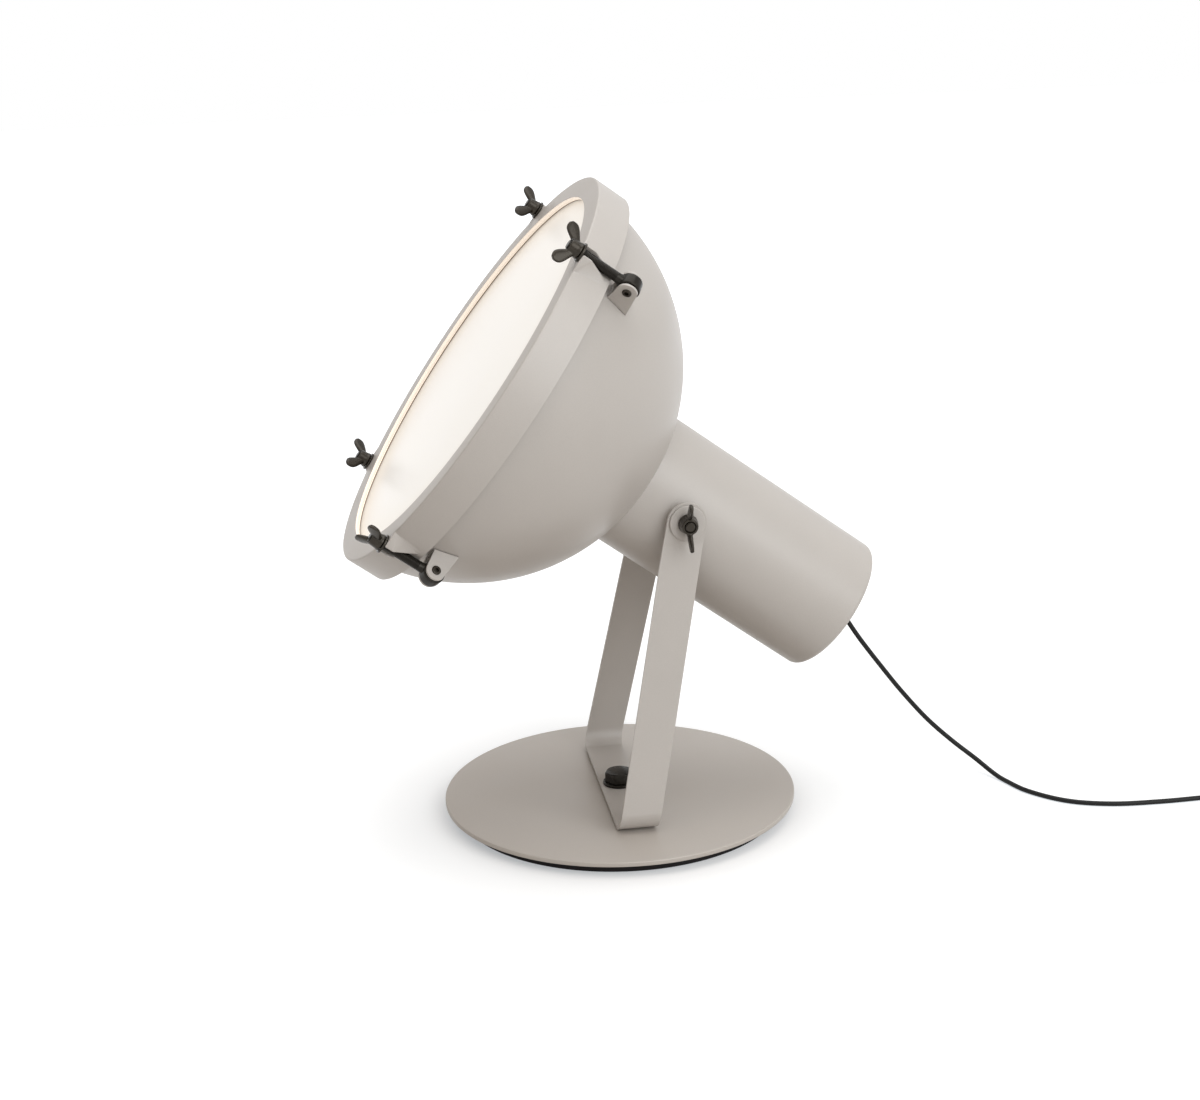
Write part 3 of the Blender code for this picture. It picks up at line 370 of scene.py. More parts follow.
grained_material("clear_glass", (0.86, 0.84, 0.80), 0.01, 0.15, 900.0, 0.03)
glass_material()
# The ring's coat and the channel's rubber carry painted lamplight: cream and a glow on the opening's wall
# and on the channel's face in front of the glass
lip_material("ring_paint", paint_colour, opening_radius + 0.0004, 0.0)
lip_material("channel_rubber", gasket_brown, glass_radius, 0.0012)


# Mesh helpers

def arc(centre_x, centre_y, radius, start, end, segments):
    """Points along a circular arc, both ends included. Angles are in degrees."""
    points = []
    for index in range(segments + 1):
        angle = math.radians(start + (end - start) * index / segments)
        points.append((centre_x + radius * math.cos(angle), centre_y + radius * math.sin(angle)))
    return points


def rounded(outline, radius, segments=4):
    """Round the corners of a closed outline, apart from those on its axis, where x is zero."""
    result = []
    count = len(outline)
    for index, point in enumerate(outline):
        here = Vector(point)
        before = Vector(outline[index - 1])
        after = Vector(outline[(index + 1) % count])
        back = before - here
        forth = after - here
        bend = math.pi if here.x == 0 else back.angle(forth)
        if bend > math.radians(straight_angle):
            result.append(tuple(here))
            continue
        room = min(back.length, forth.length) * corner_share
        cut = min(radius / math.tan(bend / 2), room)
        start = here + back.normalized() * cut
        end = here + forth.normalized() * cut
        for step in range(segments + 1):
            share = step / segments
            curve = start * (1 - share)**2 + here * 2 * share * (1 - share) + end * share**2
            result.append(tuple(curve))
    return result


def finish_mesh(name, bm, angle=sharp_angle):
    """A mesh with no doubled points, normals that point out and smooth faces between sharp edges."""
    bmesh.ops.remove_doubles(bm, verts=bm.verts, dist=merge_distance)
    bmesh.ops.recalc_face_normals(bm, faces=bm.faces)
    mesh = bpy.data.meshes.new(name)
    bm.to_mesh(mesh)
    bm.free()
    mesh.shade_smooth()
    mesh.set_sharp_from_angle(angle=math.radians(angle))
    return mesh


def turned(name, outline, steps):
    """Spin a closed outline of (radius, height) points round Z."""
    bm = bmesh.new()
    verts = [bm.verts.new((radius, 0.0, height)) for radius, height in outline]
    pairs = zip(verts, verts[1:] + verts[:1])
    edges = [bm.edges.new(pair) for pair in pairs if pair[0].co.x or pair[1].co.x]
    bmesh.ops.spin(bm, geom=verts + edges, cent=(0, 0, 0), axis=(0, 0, 1),
                   angle=math.tau, steps=steps, use_merge=True)
    return finish_mesh(name, bm)


def extruded(name, outline, low, high, plane="XY"):
    """Extrude a flat outline. In plane XZ the outline's second value is Z and low to high is Y."""
    bm = bmesh.new()
    if plane == "XZ":
        verts = [bm.verts.new((x, low, z)) for x, z in outline]
        step = Vector((0, high - low, 0))
    else:
        verts = [bm.verts.new((x, y, low)) for x, y in outline]
        step = Vector((0, 0, high - low))
    face = bm.faces.new(verts)
    grown = bmesh.ops.extrude_face_region(bm, geom=[face])
    moved = [item for item in grown["geom"] if isinstance(item, bmesh.types.BMVert)]
    bmesh.ops.translate(bm, verts=moved, vec=step)
    return finish_mesh(name, bm)


def disc(name, radius, low, high, steps=bore_steps):
    return turned(name, rectangle(0, radius, low, high), steps)


def moved_mesh(mesh, matrix):
    mesh.transform(matrix)
    mesh.update()
    return mesh


def rectangle(left, right, low, high):
    return [(left, low), (right, low), (right, high), (left, high)]


def box_outline(length, width, corner, segments=8):
    """A rectangle's outline with round corners, centred on the origin."""
    half_x = length / 2 - corner
    half_y = width / 2 - corner
    outline = []
    for side_x, side_y, start in ((1, 1, 0), (-1, 1, 90), (-1, -1, 180), (1, -1, 270)):
        outline += arc(side_x * half_x, side_y * half_y, corner, start, start + 90, segments)
    return outline


def hexagon(across_flats):
    return arc(0, 0, across_flats / math.sqrt(3), 0, 300, 5)


def bridged(bm, loops):
    """Faces between neighbouring loops of corners."""
    for first, second in zip(loops, loops[1:]):
        for index in range(len(first)):
            following = (index + 1) % len(first)
            bm.faces.new((first[index], first[following], second[following], second[index]))


def joined_mesh(name, meshes):
    bm = bmesh.new()
    for mesh in meshes:
        bm.from_mesh(mesh)
    return finish_mesh(name, bm)


def modified(mesh, *modifiers):
    """The mesh after modifiers, each given as (kind, settings)."""
    thing = bpy.data.objects.new("work", mesh)
    bpy.context.collection.objects.link(thing)
    for kind, settings in modifiers:
        modifier = thing.modifiers.new(kind, kind)
        for key, value in settings.items():
            setattr(modifier, key, value)
    graph = bpy.context.evaluated_depsgraph_get()
    result = bpy.data.meshes.new_from_object(thing.evaluated_get(graph))
    result.name = mesh.name
    bpy.data.objects.remove(thing, do_unlink=True)
    return result


def combined(mesh, other, operation, solver="EXACT"):
    """The mesh after a Boolean with another one."""
    tool = bpy.data.objects.new("tool", other)
    bpy.context.collection.objects.link(tool)
    result = modified(mesh, ("BOOLEAN", {"operation": operation, "object": tool, "solver": solver}))
    bpy.data.objects.remove(tool, do_unlink=True)
    result.shade_smooth()
    result.set_sharp_from_angle(angle=math.radians(sharp_angle))
    return result


def bevelled(mesh, width, segments=3, angle=sharp_angle):
    """Round every sharp edge and keep the flat faces flat."""
    bevel = {"width": width, "segments": segments, "angle_limit": math.radians(angle)}
    return modified(mesh, ("BEVEL", bevel), ("WEIGHTED_NORMAL", {"keep_sharp": False, "weight": 80}))


def cast(mesh, voxel, smooth):
    """Melt joined bodies into one cast-looking skin."""
    result = modified(
        mesh,
        ("REMESH", {"mode": "VOXEL", "voxel_size": voxel}),
        ("SMOOTH", {"iterations": smooth, "factor": 0.5}),
    )
    result.shade_smooth()
    return result


def put(kind, mesh, material, body, place=Matrix.Identity(4), which="", nodes=()):
    """A finished piece in the row frame, riding on a body in place of the solids that it stands for."""
    nodes = nodes or [kind + which]
    mesh = mesh.copy()
    mesh.transform(place)
    mesh.materials.clear()
    mesh.materials.append(materials[material])
    piece = bpy.data.objects.new(kind + "_skin" + which, mesh)
    bpy.context.collection.objects.link(piece)
    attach(piece, body)
    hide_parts(*nodes)
    return piece


# Cords

def length_of(points):
    return sum((b - a).length for a, b in zip(points, points[1:]))


def smooth_points(route, spacing):
    """Points at an even spacing along one smooth curve through the route's own points."""
    places = [Vector(point) for point in route]
    padded = [places[0] * 2 - places[1]] + places + [places[-1] * 2 - places[-2]]
    fine = []
    for index in range(len(places) - 1):
        before, start, end, after = padded[index:index + 4]
        for step in range(curve_steps):
            share = step / curve_steps
            bend = (before * -1 + start * 3 - end * 3 + after) * share**3
            sag = (before * 2 - start * 5 + end * 4 - after) * share**2
            fine.append((start * 2 + (end - before) * share + sag + bend) / 2)
    fine.append(places[-1])
    total = length_of(fine)
    count = max(2, round(total / spacing))
    points = [fine[0]]
    travelled = 0.0
    for first, second in zip(fine, fine[1:]):
        length = (second - first).length
        while len(points) < count and travelled + length >= total * len(points) / count:
            share = (total * len(points) / count - travelled) / length
            points.append(first.lerp(second, share))
        travelled += length
    points.append(fine[-1])
    return points


def tube(name, points, sides=5):
    """A round cord's mesh along points, with closed ends."""
    curve = bpy.data.curves.new(name, "CURVE")
    curve.dimensions = "3D"
    curve.bevel_depth = cord_radius
    curve.bevel_resolution = sides
    curve.use_fill_caps = True
    spline = curve.splines.new("POLY")
    spline.points.add(len(points) - 1)
    for point, place in zip(spline.points, points):
        point.co = (*place, 1.0)
    thing = bpy.data.objects.new(name, curve)
    bpy.context.collection.objects.link(thing)
    graph = bpy.context.evaluated_depsgraph_get()
    mesh = bpy.data.meshes.new_from_object(thing.evaluated_get(graph))
    bpy.data.objects.remove(thing, do_unlink=True)
    mesh.shade_smooth()
    mesh.set_sharp_from_angle(angle=math.radians(cord_sharp_angle))
    return mesh


def coil_points(centre_x, centre_y):
    """Two flat layers of loops: a spiral in on the floor, then a spiral out on top of it."""
    layer = coil_turns_per_layer * math.tau
    low = cord_radius + floor_gap + coil_lift
    count = round(2 * coil_turns_per_layer * coil_steps)
    points = []
    for index in range(count + 1):
        angle = 2 * layer * index / count
        radius = coil_inner_radius + coil_pitch * abs(angle - layer) / math.tau
        climb = min(max((angle - layer) / math.pi + 0.5, 0.0), 1.0)
        direction = angle - math.pi / 2
        points.append(Vector((
            centre_x + radius * math.cos(direction),
            centre_y + radius * math.sin(direction),
            low + coil_layer_height * climb,
        )))
    return points


diameter = 2 * cord_radius
point_spacing = diameter * 1.4
on_floor = cord_radius + floor_gap
coil_low = on_floor + coil_lift
leaves = head_place @ Vector((0, 0, -gland_exit_behind))
backward = -(head_place.to_3x3() @ Vector((0, 0, 1)))
straight = leaves + backward * diameter
lead_points = smooth_points([leaves, straight] + cord_route, point_spacing)
for point in lead_points:
    point.z = max(point.z, on_floor)
lead_points.insert(1, straight)
lane = cord_route[-1][1]
switch_start = cord_route[-1][0] + seat_gap
switch_end = switch_start + switch_length
coil_widest = coil_inner_radius + coil_pitch * coil_turns_per_layer
coil_centre_y = lane + coil_widest
coil_start = coil_centre_x - diameter
tail_route = [
    (switch_end + seat_gap, lane, on_floor),
    (switch_end + diameter, lane, on_floor),
    ((switch_end + coil_start) / 2, lane, on_floor),
    (coil_start - diameter, lane, coil_low),
    (coil_start, lane, coil_low),
]
end_lane = coil_centre_y + coil_widest
end_height = coil_low + coil_layer_height
end_stop = coil_start - seat_gap - cord_end_length
tail_points = smooth_points(tail_route, point_spacing)
tail_points += coil_points(coil_centre_x, coil_centre_y)
tail_points += [
    Vector((coil_start, end_lane, end_height)),
    Vector(((coil_start + end_stop) / 2, end_lane, end_height)),
    Vector((end_stop, end_lane, end_height)),
]


# Switch on the cord

switch_corner = 0.006
switch_edge = 0.0009
switch_split = 0.0077
switch_cover_low = 0.008
switch_top = 0.017
window_edge = 0.0003
rocker_length = 0.018
rocker_half_width = 0.006
rocker_lean = 8
rocker_axis_height = 0.0174
rocker_under = -0.0022
rocker_keel = -0.004

switch_place = shift(switch_start + switch_length / 2, lane, 0)
shell = box_outline(switch_length, switch_width, switch_corner)
low_shell = bevelled(extruded("switch_base_skin", shell, floor_gap, switch_split), switch_edge, 4, 40)
switch_base = put("switch_base", low_shell, "black_plastic", "yoke", switch_place)
high_shell = extruded("switch_cover_skin", shell, switch_cover_low, switch_top)
opening = box_outline(rocker_length + 2 * window_edge, 2 * (rocker_half_width + window_edge), 0.0005, 2)
window = extruded("window", opening, 0.004, 0.021)
high_shell = bevelled(combined(high_shell, window, "DIFFERENCE"), 0.0010, 4, 40)
switch_cover = put("switch_cover", high_shell, "black_plastic", "yoke", switch_place)
half = rocker_length / 2 - seat_gap
rise = half * math.tan(math.radians(rocker_lean))
rocker = extruded("switch_rocker_skin", [
    (half, rise), (half * 0.5, rise * 0.42), (0, 0), (-half * 0.5, rise * 0.42), (-half, rise),
    (-half, rocker_under), (-half / 2, rocker_under), (0, rocker_keel),
    (half / 2, rocker_under), (half, rocker_under),
], -rocker_half_width, rocker_half_width, "XZ")
rocker = bevelled(rocker, 0.0004, 3, 30)
rocker_place = switch_place @ shift(0, 0, rocker_axis_height) @ turn("Y", rocker_lean)
switch_rocker = put("switch_rocker", rocker, "black_plastic", "rocker", rocker_place)


# Tie round the coil

strap_thickness = 0.0006
strap_half_width = 0.004

inner_side = coil_inner_radius - cord_radius - seat_gap
outer_side = coil_widest + cord_radius + seat_gap
strap_high = floor_gap + coil_lift + diameter + coil_layer_height + seat_gap
strap = rectangle(inner_side - strap_thickness, outer_side + strap_thickness,
                  floor_gap, strap_high + strap_thickness)
strap = extruded("cord_tie_skin", strap, -strap_half_width, strap_half_width, "XZ")
room = rectangle(inner_side, outer_side, floor_gap + strap_thickness, strap_high)
room = extruded("room", room, -0.01, 0.01, "XZ")
strap = bevelled(combined(strap, room, "DIFFERENCE"), 0.0002, 2, 40)
tie = put("cord_tie", strap, "foot_rubber", "yoke", shift(coil_centre_x, coil_centre_y, 0))


# Plug

plug_nose_half_width = 0.0045
plug_groove_first = -0.019
plug_groove_spacing = 0.0034
plug_groove_radius = 0.0007
plug_pin_radius = 0.002
plug_pin_length = 0.019
plug_pin_aside = 0.0093

plug_half_height = end_height - floor_gap
plug = extruded("plug_body_skin", [
    (0, plug_nose_half_width), (-plug_nose_length, plug_half_width), (-plug_length, plug_half_width),
    (-plug_length, -plug_half_width), (-plug_nose_length, -plug_half_width), (0, -plug_nose_half_width),
], -plug_half_height, plug_half_height)
plug = bevelled(plug, 0.0022, 5, 20)
grooves = []
for index in range(4):
    spot = plug_groove_first - index * plug_groove_spacing
    for side in (-1, 1):
        groove = disc("groove", plug_groove_radius, -0.02, 0.02, 20)
        grooves.append(moved_mesh(groove, shift(spot, side * (plug_half_width + 0.0002), 0)))
plug = combined(plug, joined_mesh("grooves", grooves), "DIFFERENCE")
plug_place = shift(end_stop - seat_gap, end_lane, end_height)
plug_body = put("plug_body", plug, "black_plastic", "yoke", plug_place)
for name, side in (("left", 1), ("right", -1)):
    tip = arc(0, plug_pin_length - plug_pin_radius, plug_pin_radius, 0, 90, 8)[1:-1]
    pin_skin = turned("plug_pin_skin", [
        (0, 0), (plug_pin_radius, 0), (plug_pin_radius, plug_pin_length - plug_pin_radius + 0.0001),
    ] + tip + [(0, plug_pin_length)], 32)
    spot = plug_place @ shift(-plug_length - seat_gap, side * plug_pin_aside, 0) @ turn("Y", -90)
    put("plug_pin", pin_skin, "zinc_steel", "yoke", spot, "_" + name)


# The cords themselves

lead_mesh = tube("cord_lead_skin", lead_points)
lead_mesh.materials.append(materials["cord_black"])
lead = bpy.data.objects.new("cord_lead_skin", lead_mesh)
bpy.context.collection.objects.link(lead)
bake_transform(lead)
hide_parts("cord_lead")

tail = put("cord_tail", tube("cord_tail_skin", tail_points, 3), "cord_black", "yoke",
           nodes=["cord_tail", "cord_coil", "cord_end"])


# Base

pad_low_edge = 0.0004
pad_high_edge = 0.0003

plate = rectangle(swivel_bore, base_radius, plate_bottom, plate_top)
base_plate = turned("base_plate_skin", rounded(plate, 0.0010), plate_steps)
put("base_plate", base_plate, "base_paint", "base")
pad_radius = base_radius - pad_inset
base_pad = turned("base_pad_skin", [
    (0, 0), (pad_radius - pad_low_edge, 0), (pad_radius, pad_low_edge),
    (pad_radius, pad_thickness - pad_high_edge), (pad_radius - pad_high_edge, pad_thickness),
    (swivel_nut_room, pad_thickness), (swivel_nut_room, swivel_nut_room_floor), (0, swivel_nut_room_floor),
], plate_steps)
put("base_pad", base_pad, "foot_rubber", "base")


# Fork

fork_bend_steps = 16
fork_kink_steps = 4
fork_kink_length = 0.004
fork_tip_steps = 24
fork_edge = 0.00055


def fork_mesh():
    """The bar from one tip to the other: a web, two bends, leaning arms with a kink and round tips."""
    half = bar_thickness / 2
    web_middle = web_bottom + half
    kink = pivot_height - upright_below_pivot
    lean_in = math.atan2(fork_half_span_low - fork_half_span_high, kink - web_bottom)
    bend = bar_inner_bend + half
    reach = fork_half_span_low * math.cos(lean_in) + web_bottom * math.sin(lean_in) - half - bend
    centre_z = web_middle + bend
    centre_y = (reach - centre_z * math.sin(lean_in)) / math.cos(lean_in)
    stations = [(0.0, web_middle, -math.pi / 2)]
    for index in range(fork_bend_steps + 1):
        angle = -math.pi / 2 + (lean_in + math.pi / 2) * index / fork_bend_steps
        stations.append((centre_y + bend * math.cos(angle), centre_z + bend * math.sin(angle), angle))
    upright_y = fork_half_span_high - half
    last_y, last_z, _ = stations[-1]
    kink_z = last_z + (last_y - upright_y) / math.tan(lean_in)
    for index in range(fork_kink_steps + 1):
        share = index / fork_kink_steps
        near = (share - 0.5) * fork_kink_length
        drift = near * math.tan(lean_in) if near < 0 else 0.0
        stations.append((upright_y - drift, kink_z + near, lean_in * (1 - share)))
    lean = pivot_behind_swivel / (pivot_height - web_middle)
    rows = []
    for y, z, angle in stations:
        middle = Vector((lean * (z - web_middle), y, z))
        across = Vector((bar_width / 2, 0, 0))
        normal = Vector((0, math.cos(angle), math.sin(angle))) * half
        rows.append((middle - across, middle + across, normal))
    along = Vector((lean, 0, 1)).normalized()
    square = Vector((1, 0, -lean)).normalized()
    tip = bar_width / 2 * along.z
    pivot = Vector((pivot_behind_swivel, upright_y, pivot_height))
    for index in range(fork_tip_steps + 1):
        angle = math.pi / 2 * index / fork_tip_steps
        rise = along * tip * math.sin(angle)
        side = square * tip * math.cos(angle)
        rows.append((pivot + rise - side, pivot + rise + side, Vector((0, half, 0))))
    flip = Matrix.Scale(-1, 3, (0, 1, 0))
    near_rows = [(flip @ left, flip @ right, flip @ normal) for left, right, normal in reversed(rows[1:])]
    bm = bmesh.new()
    loops = []
    for left, right_edge, normal in near_rows + rows:
        corners = (left + normal, right_edge + normal, right_edge - normal, left - normal)
        loops.append([bm.verts.new(corner) for corner in corners])
    bridged(bm, loops)
    bar = finish_mesh("yoke_skin", bm)
    bar = combined(bar, disc("bore", swivel_bore, -0.01, 0.02), "DIFFERENCE")
    stud_line = shift(pivot_behind_swivel, 0, pivot_height) @ turn("X", 90)
    bar = combined(bar, moved_mesh(disc("bore", nut_bore, -0.15, 0.15), stud_line), "DIFFERENCE")
    return bevelled(bar, fork_edge, 3, 40)


put("yoke", fork_mesh(), "sand_paint", "yoke")


# Head shells

flange_width = 0.0046
flange_back = flange_front - bowl_wall
drum_fillet = 0.004
drum_inner_fillet = 0.0025


def bowl_points(offset):
    """The bowl's curve, from the drum to the flange, at an offset from its outside."""
    radius = bowl_radius + offset
    first = math.degrees(math.acos((drum_radius + seat_gap) / radius))
    last = math.degrees(math.asin((bowl_centre - flange_back) / radius))
    return arc(0, bowl_centre, radius, -first, -last, bowl_steps)


outer = bowl_points(0.0)
inner = bowl_points(-bowl_wall)
bowl = turned("bowl_skin", outer + [
    (bowl_radius + flange_width, flange_back), (bowl_radius + flange_width, flange_front),
    (inner[-1][0], flange_front),
] + inner[::-1], round_steps)
put("bowl", bowl, "sand_paint", "head", head_place)

inner_radius = drum_radius - drum_wall
fillet_centre = (drum_radius - drum_fillet, drum_back + drum_fillet)
fillet = arc(*fillet_centre, drum_fillet, -90, 0, 10)
inner_fillet = arc(*fillet_centre, drum_inner_fillet, 0, -90, 8)
drum = turned("drum_skin", [(gland_bore, drum_back)] + fillet + [
    (drum_radius, drum_front), (inner_radius, drum_front),
] + inner_fillet + [(gland_bore, drum_back + drum_wall)], 160)
put("drum", drum, "sand_paint", "head", head_place)


# Front ring, glass and channel

cheek_top = 0.0045
cheek_inner_face = 0.0045
cheek_front_spread = 0.0105
cheek_crest_length = 0.008
cheek_crest_width = 0.001
cheek_foot_spread = 0.002
cheek_foot_before_edge = 0.003
cheek_behind_face = 0.0001
cheek_edge = 0.0006
ring_edge = 0.0015
ring_face = 0.003
opening_edge = 0.0006
glass_edge = 0.0006
channel_low = 0.1943
channel_high = 0.2037
channel_wall = 0.0022
channel_lip_inset = 0.0008


def clamp_place(angle):
    """The axes of the clamp at an angle round the ring: X points out and Z along the bolt."""
    out = shift(0, 0, ring_front - clamp_pin_behind_ring)
    return out @ Matrix.Rotation(-math.radians(angle), 4, "Z") @ shift(clamp_bolt_circle, 0, 0)


def cheek_mesh(side):
    """One flared cheek beside a swing bolt, in the clamp's own axes."""
    front = clamp_pin_behind_ring - cheek_behind_face
    sunk = ring_radius - clamp_bolt_circle - ring_wall / 2
    near = cheek_inner_face
    foot = front - ring_depth + cheek_foot_before_edge
    crest_end = front - cheek_crest_length
    corners = [
        (cheek_top, near, front), (sunk, near, front), (sunk, near + cheek_front_spread, front),
        (cheek_top, near, crest_end), (cheek_top, near + cheek_crest_width, front),
        (cheek_top, near + cheek_crest_width, crest_end),
        (sunk, near, foot), (sunk, near + cheek_foot_spread, foot),
    ]
    bm = bmesh.new()
    verts = [bm.verts.new((x, side * y, z)) for x, y, z in corners]
    hull = bmesh.ops.convex_hull(bm, input=verts)
    loose = [item for item in hull["geom_interior"] if isinstance(item, bmesh.types.BMVert)]
    bmesh.ops.delete(bm, geom=loose, context="VERTS")
    return bevelled(finish_mesh("cheek", bm, 20), cheek_edge, 3, 12)


ring_inner = ring_radius - ring_wall
ring_outline = [(ring_inner, ring_front - ring_depth), (ring_radius, ring_front - ring_depth)]
ring_outline += arc(ring_radius - ring_edge, ring_front - ring_edge, ring_edge, 0, 90, 6)
ring_outline += [
    (opening_radius + opening_edge, ring_front), (opening_radius, ring_front - opening_edge),
    (opening_radius, ring_front - ring_face), (ring_inner, ring_front - ring_face),
]
ring = turned("front_ring_skin", ring_outline, round_steps)
for angle in clamp_angles.values():
    for side in (-1, 1):
        cheek = moved_mesh(cheek_mesh(side), clamp_place(angle))
        ring = combined(ring, cheek, "UNION", "MANIFOLD")
put("front_ring", ring, "ring_paint", "head", head_place)

glass = rectangle(0, glass_radius, glass_back, glass_front)
glass = turned("glass_disc_skin", rounded(glass, glass_edge), plate_steps)
put("glass_disc", glass, "frosted_glass", "head", head_place)
groove = glass_radius + seat_gap
lip = opening_radius + channel_lip_inset
channel = turned("glass_channel_skin", rounded([
    (lip, channel_low), (groove + channel_wall, channel_low),
    (groove + channel_wall, channel_high), (lip, channel_high),
    (lip, glass_front + seat_gap), (groove, glass_front + seat_gap),
    (groove, glass_back - seat_gap), (lip, glass_back - seat_gap),
], 0.0003, 2), plate_steps)
put("glass_channel", channel, "channel_rubber", "head", head_place)


# Screws, washers and wing nuts

thread_depth_share = 0.3
groove_start_share = 0.2
groove_bottom_share = 0.45
groove_end_share = 0.75
end_chamfer = 0.0008
bolt_past_nut = 0.0012
nut_mouth_chamfer = 0.0008
pivot_hub_height = 0.0115
pivot_stud_past_nut = 0.0008
pivot_cap_radius = 0.0065
pivot_cap_low = 0.0542
pivot_cap_high = 0.0572
clamp_hub_height = 0.0095


def threaded(name, radius, low, thread_low, high, pitch=0.00125, steps=32):
    """A screw's shank along Z, grooved from thread_low to its chamfered end."""
    depth = pitch * thread_depth_share
    outline = [(0, low), (radius, low)]
    if thread_low > low:
        outline.append((radius, thread_low))
    count = int((high - thread_low - pitch) / pitch)
    for index in range(count):
        start = thread_low + pitch * (index + groove_start_share)
        outline += [(radius, start), (radius - depth, start + pitch * groove_bottom_share),
                    (radius, start + pitch * groove_end_share)]
    outline += [(radius, high - end_chamfer), (radius - end_chamfer, high), (0, high)]
    return turned(name, outline, steps)


def flat_washer(name, bore, radius, low, high, edge=0.0004, steps=64):
    return turned(name, rounded(rectangle(bore, radius, low, high), edge, 3), steps)


def wing_nut_mesh(name, base, top, hub_height, height, half_span, lobe, thick, voxel):
    """A cast wing nut: a tapered hub and two paddles on slim necks, with wings along X.

    base and top are the hub's radii, lobe is a paddle's radius and voxel the fineness of the cast skin.
    The bare numbers are shares of these sizes and of the way from a paddle's root to its tip.
    """
    hub = turned(name, rounded([
        (0, 0), (base, 0), (base * 1.02, hub_height * 0.12), (base * 0.94, hub_height * 0.3),
        (top, hub_height), (0, hub_height),
    ], 0.0007), 56)
    far = Vector((half_span - lobe, height - lobe))
    root = Vector((top * 0.55, hub_height * 0.42))
    along = (far - root).normalized()
    square = Vector((-along.y, along.x))
    length = (far - root).length + lobe
    wings = []
    for degrees in (0, 180):
        bm = bmesh.new()
        loops = []
        for index in range(wing_steps + 1):
            share = index / wing_steps
            here = root + along * length * share
            from_tip = length * (1 - share)
            if share >= 0.97:
                wide = lobe * 0.34
            elif from_tip < lobe:
                wide = math.sqrt(lobe**2 - (from_tip - lobe)**2)
            else:
                taper = (from_tip - lobe) / (length - lobe)
                wide = lobe * (0.78 + 0.22 * math.cos(math.pi * taper))
            half = thick / 2 * (1.45 - 0.6 * share)
            corners = []
            for step in range(wing_steps):
                angle = math.tau * step / wing_steps
                flat = half * math.copysign(abs(math.sin(angle))**0.7, math.sin(angle))
                spot = here + square * (wide * math.cos(angle))
                corners.append(bm.verts.new((spot.x, flat, spot.y)))
            loops.append(corners)
        bridged(bm, loops)
        bm.faces.new(loops[0])
        bm.faces.new(loops[-1])
        wings.append(moved_mesh(finish_mesh("wing", bm), turn("Z", degrees)))
    nut = combined(hub, joined_mesh("wings", wings), "UNION")
    nut = cast(nut, voxel, 7)
    mouth = nut_bore + nut_mouth_chamfer
    above = hub_height + 0.004
    hole = turned("hole", [
        (0, -0.01), (nut_bore, -0.01), (nut_bore, hub_height - nut_mouth_chamfer),
        (mouth, hub_height + 0.0002), (mouth, above), (0, above),
    ], 40)
    return combined(nut, hole, "DIFFERENCE")


pivot_nut = wing_nut_mesh("pivot_nut_skin", base=0.008, top=0.0066, hub_height=pivot_hub_height,
                          height=0.020, half_span=0.020, lobe=0.0050, thick=0.0036, voxel=0.00042)
stud = threaded("pivot_stud_skin", stud_radius, low=0.056, thread_low=0.0655,
                high=pivot_nut_seat + pivot_hub_height + pivot_stud_past_nut)
stud_cap = rectangle(0, pivot_cap_radius, pivot_cap_low, pivot_cap_high)
stud_cap = turned("pivot_stud_cap", rounded(stud_cap, 0.0006), 48)
stud = combined(stud_cap, stud, "UNION")
pivot_ring = flat_washer("pivot_washer_skin", nut_bore, radius=0.0145, low=0.0698, high=0.0718,
                         edge=0.0006, steps=96)
for name, side in (("near", -1), ("far", 1)):
    which = "_" + name
    guide = head_place @ turn("X", -90 * side)
    place = guide @ shift(0, 0, pivot_nut_seat) @ turn("Z", -side * math.degrees(head_tilt))
    put("pivot_nut", pivot_nut, "black_steel", "pivot_nut" + which, place, which)
    put("pivot_stud", stud, "black_steel", "head", guide, which)
    put("pivot_washer", pivot_ring, "sand_paint", "pivot_washer" + which, guide, which)


# Clamps, each in its own axes with its pin on the origin

lug_thickness = 0.002
lug_half_in = eye_width / 2 + 0.0007
lug_half_out = lug_half_in + lug_thickness
lug_ear_radius = 0.008
lug_bowl_gap = 0.00045
lug_foot = 0.015
lug_foot_front = 0.0078
lug_window_ahead = 0.0118
lug_window_behind = 0.019
lug_window_out = 0.012
clamp_pin_radius = 0.003
clamp_pin_head_radius = 0.0037
clamp_pin_head_height = 0.0008
clamp_pin_head_edge = 0.0006
clamp_pin_chamfer = 0.0004
socket_radius = 0.0019
socket_depth = 0.0018
eye_radius = 0.009


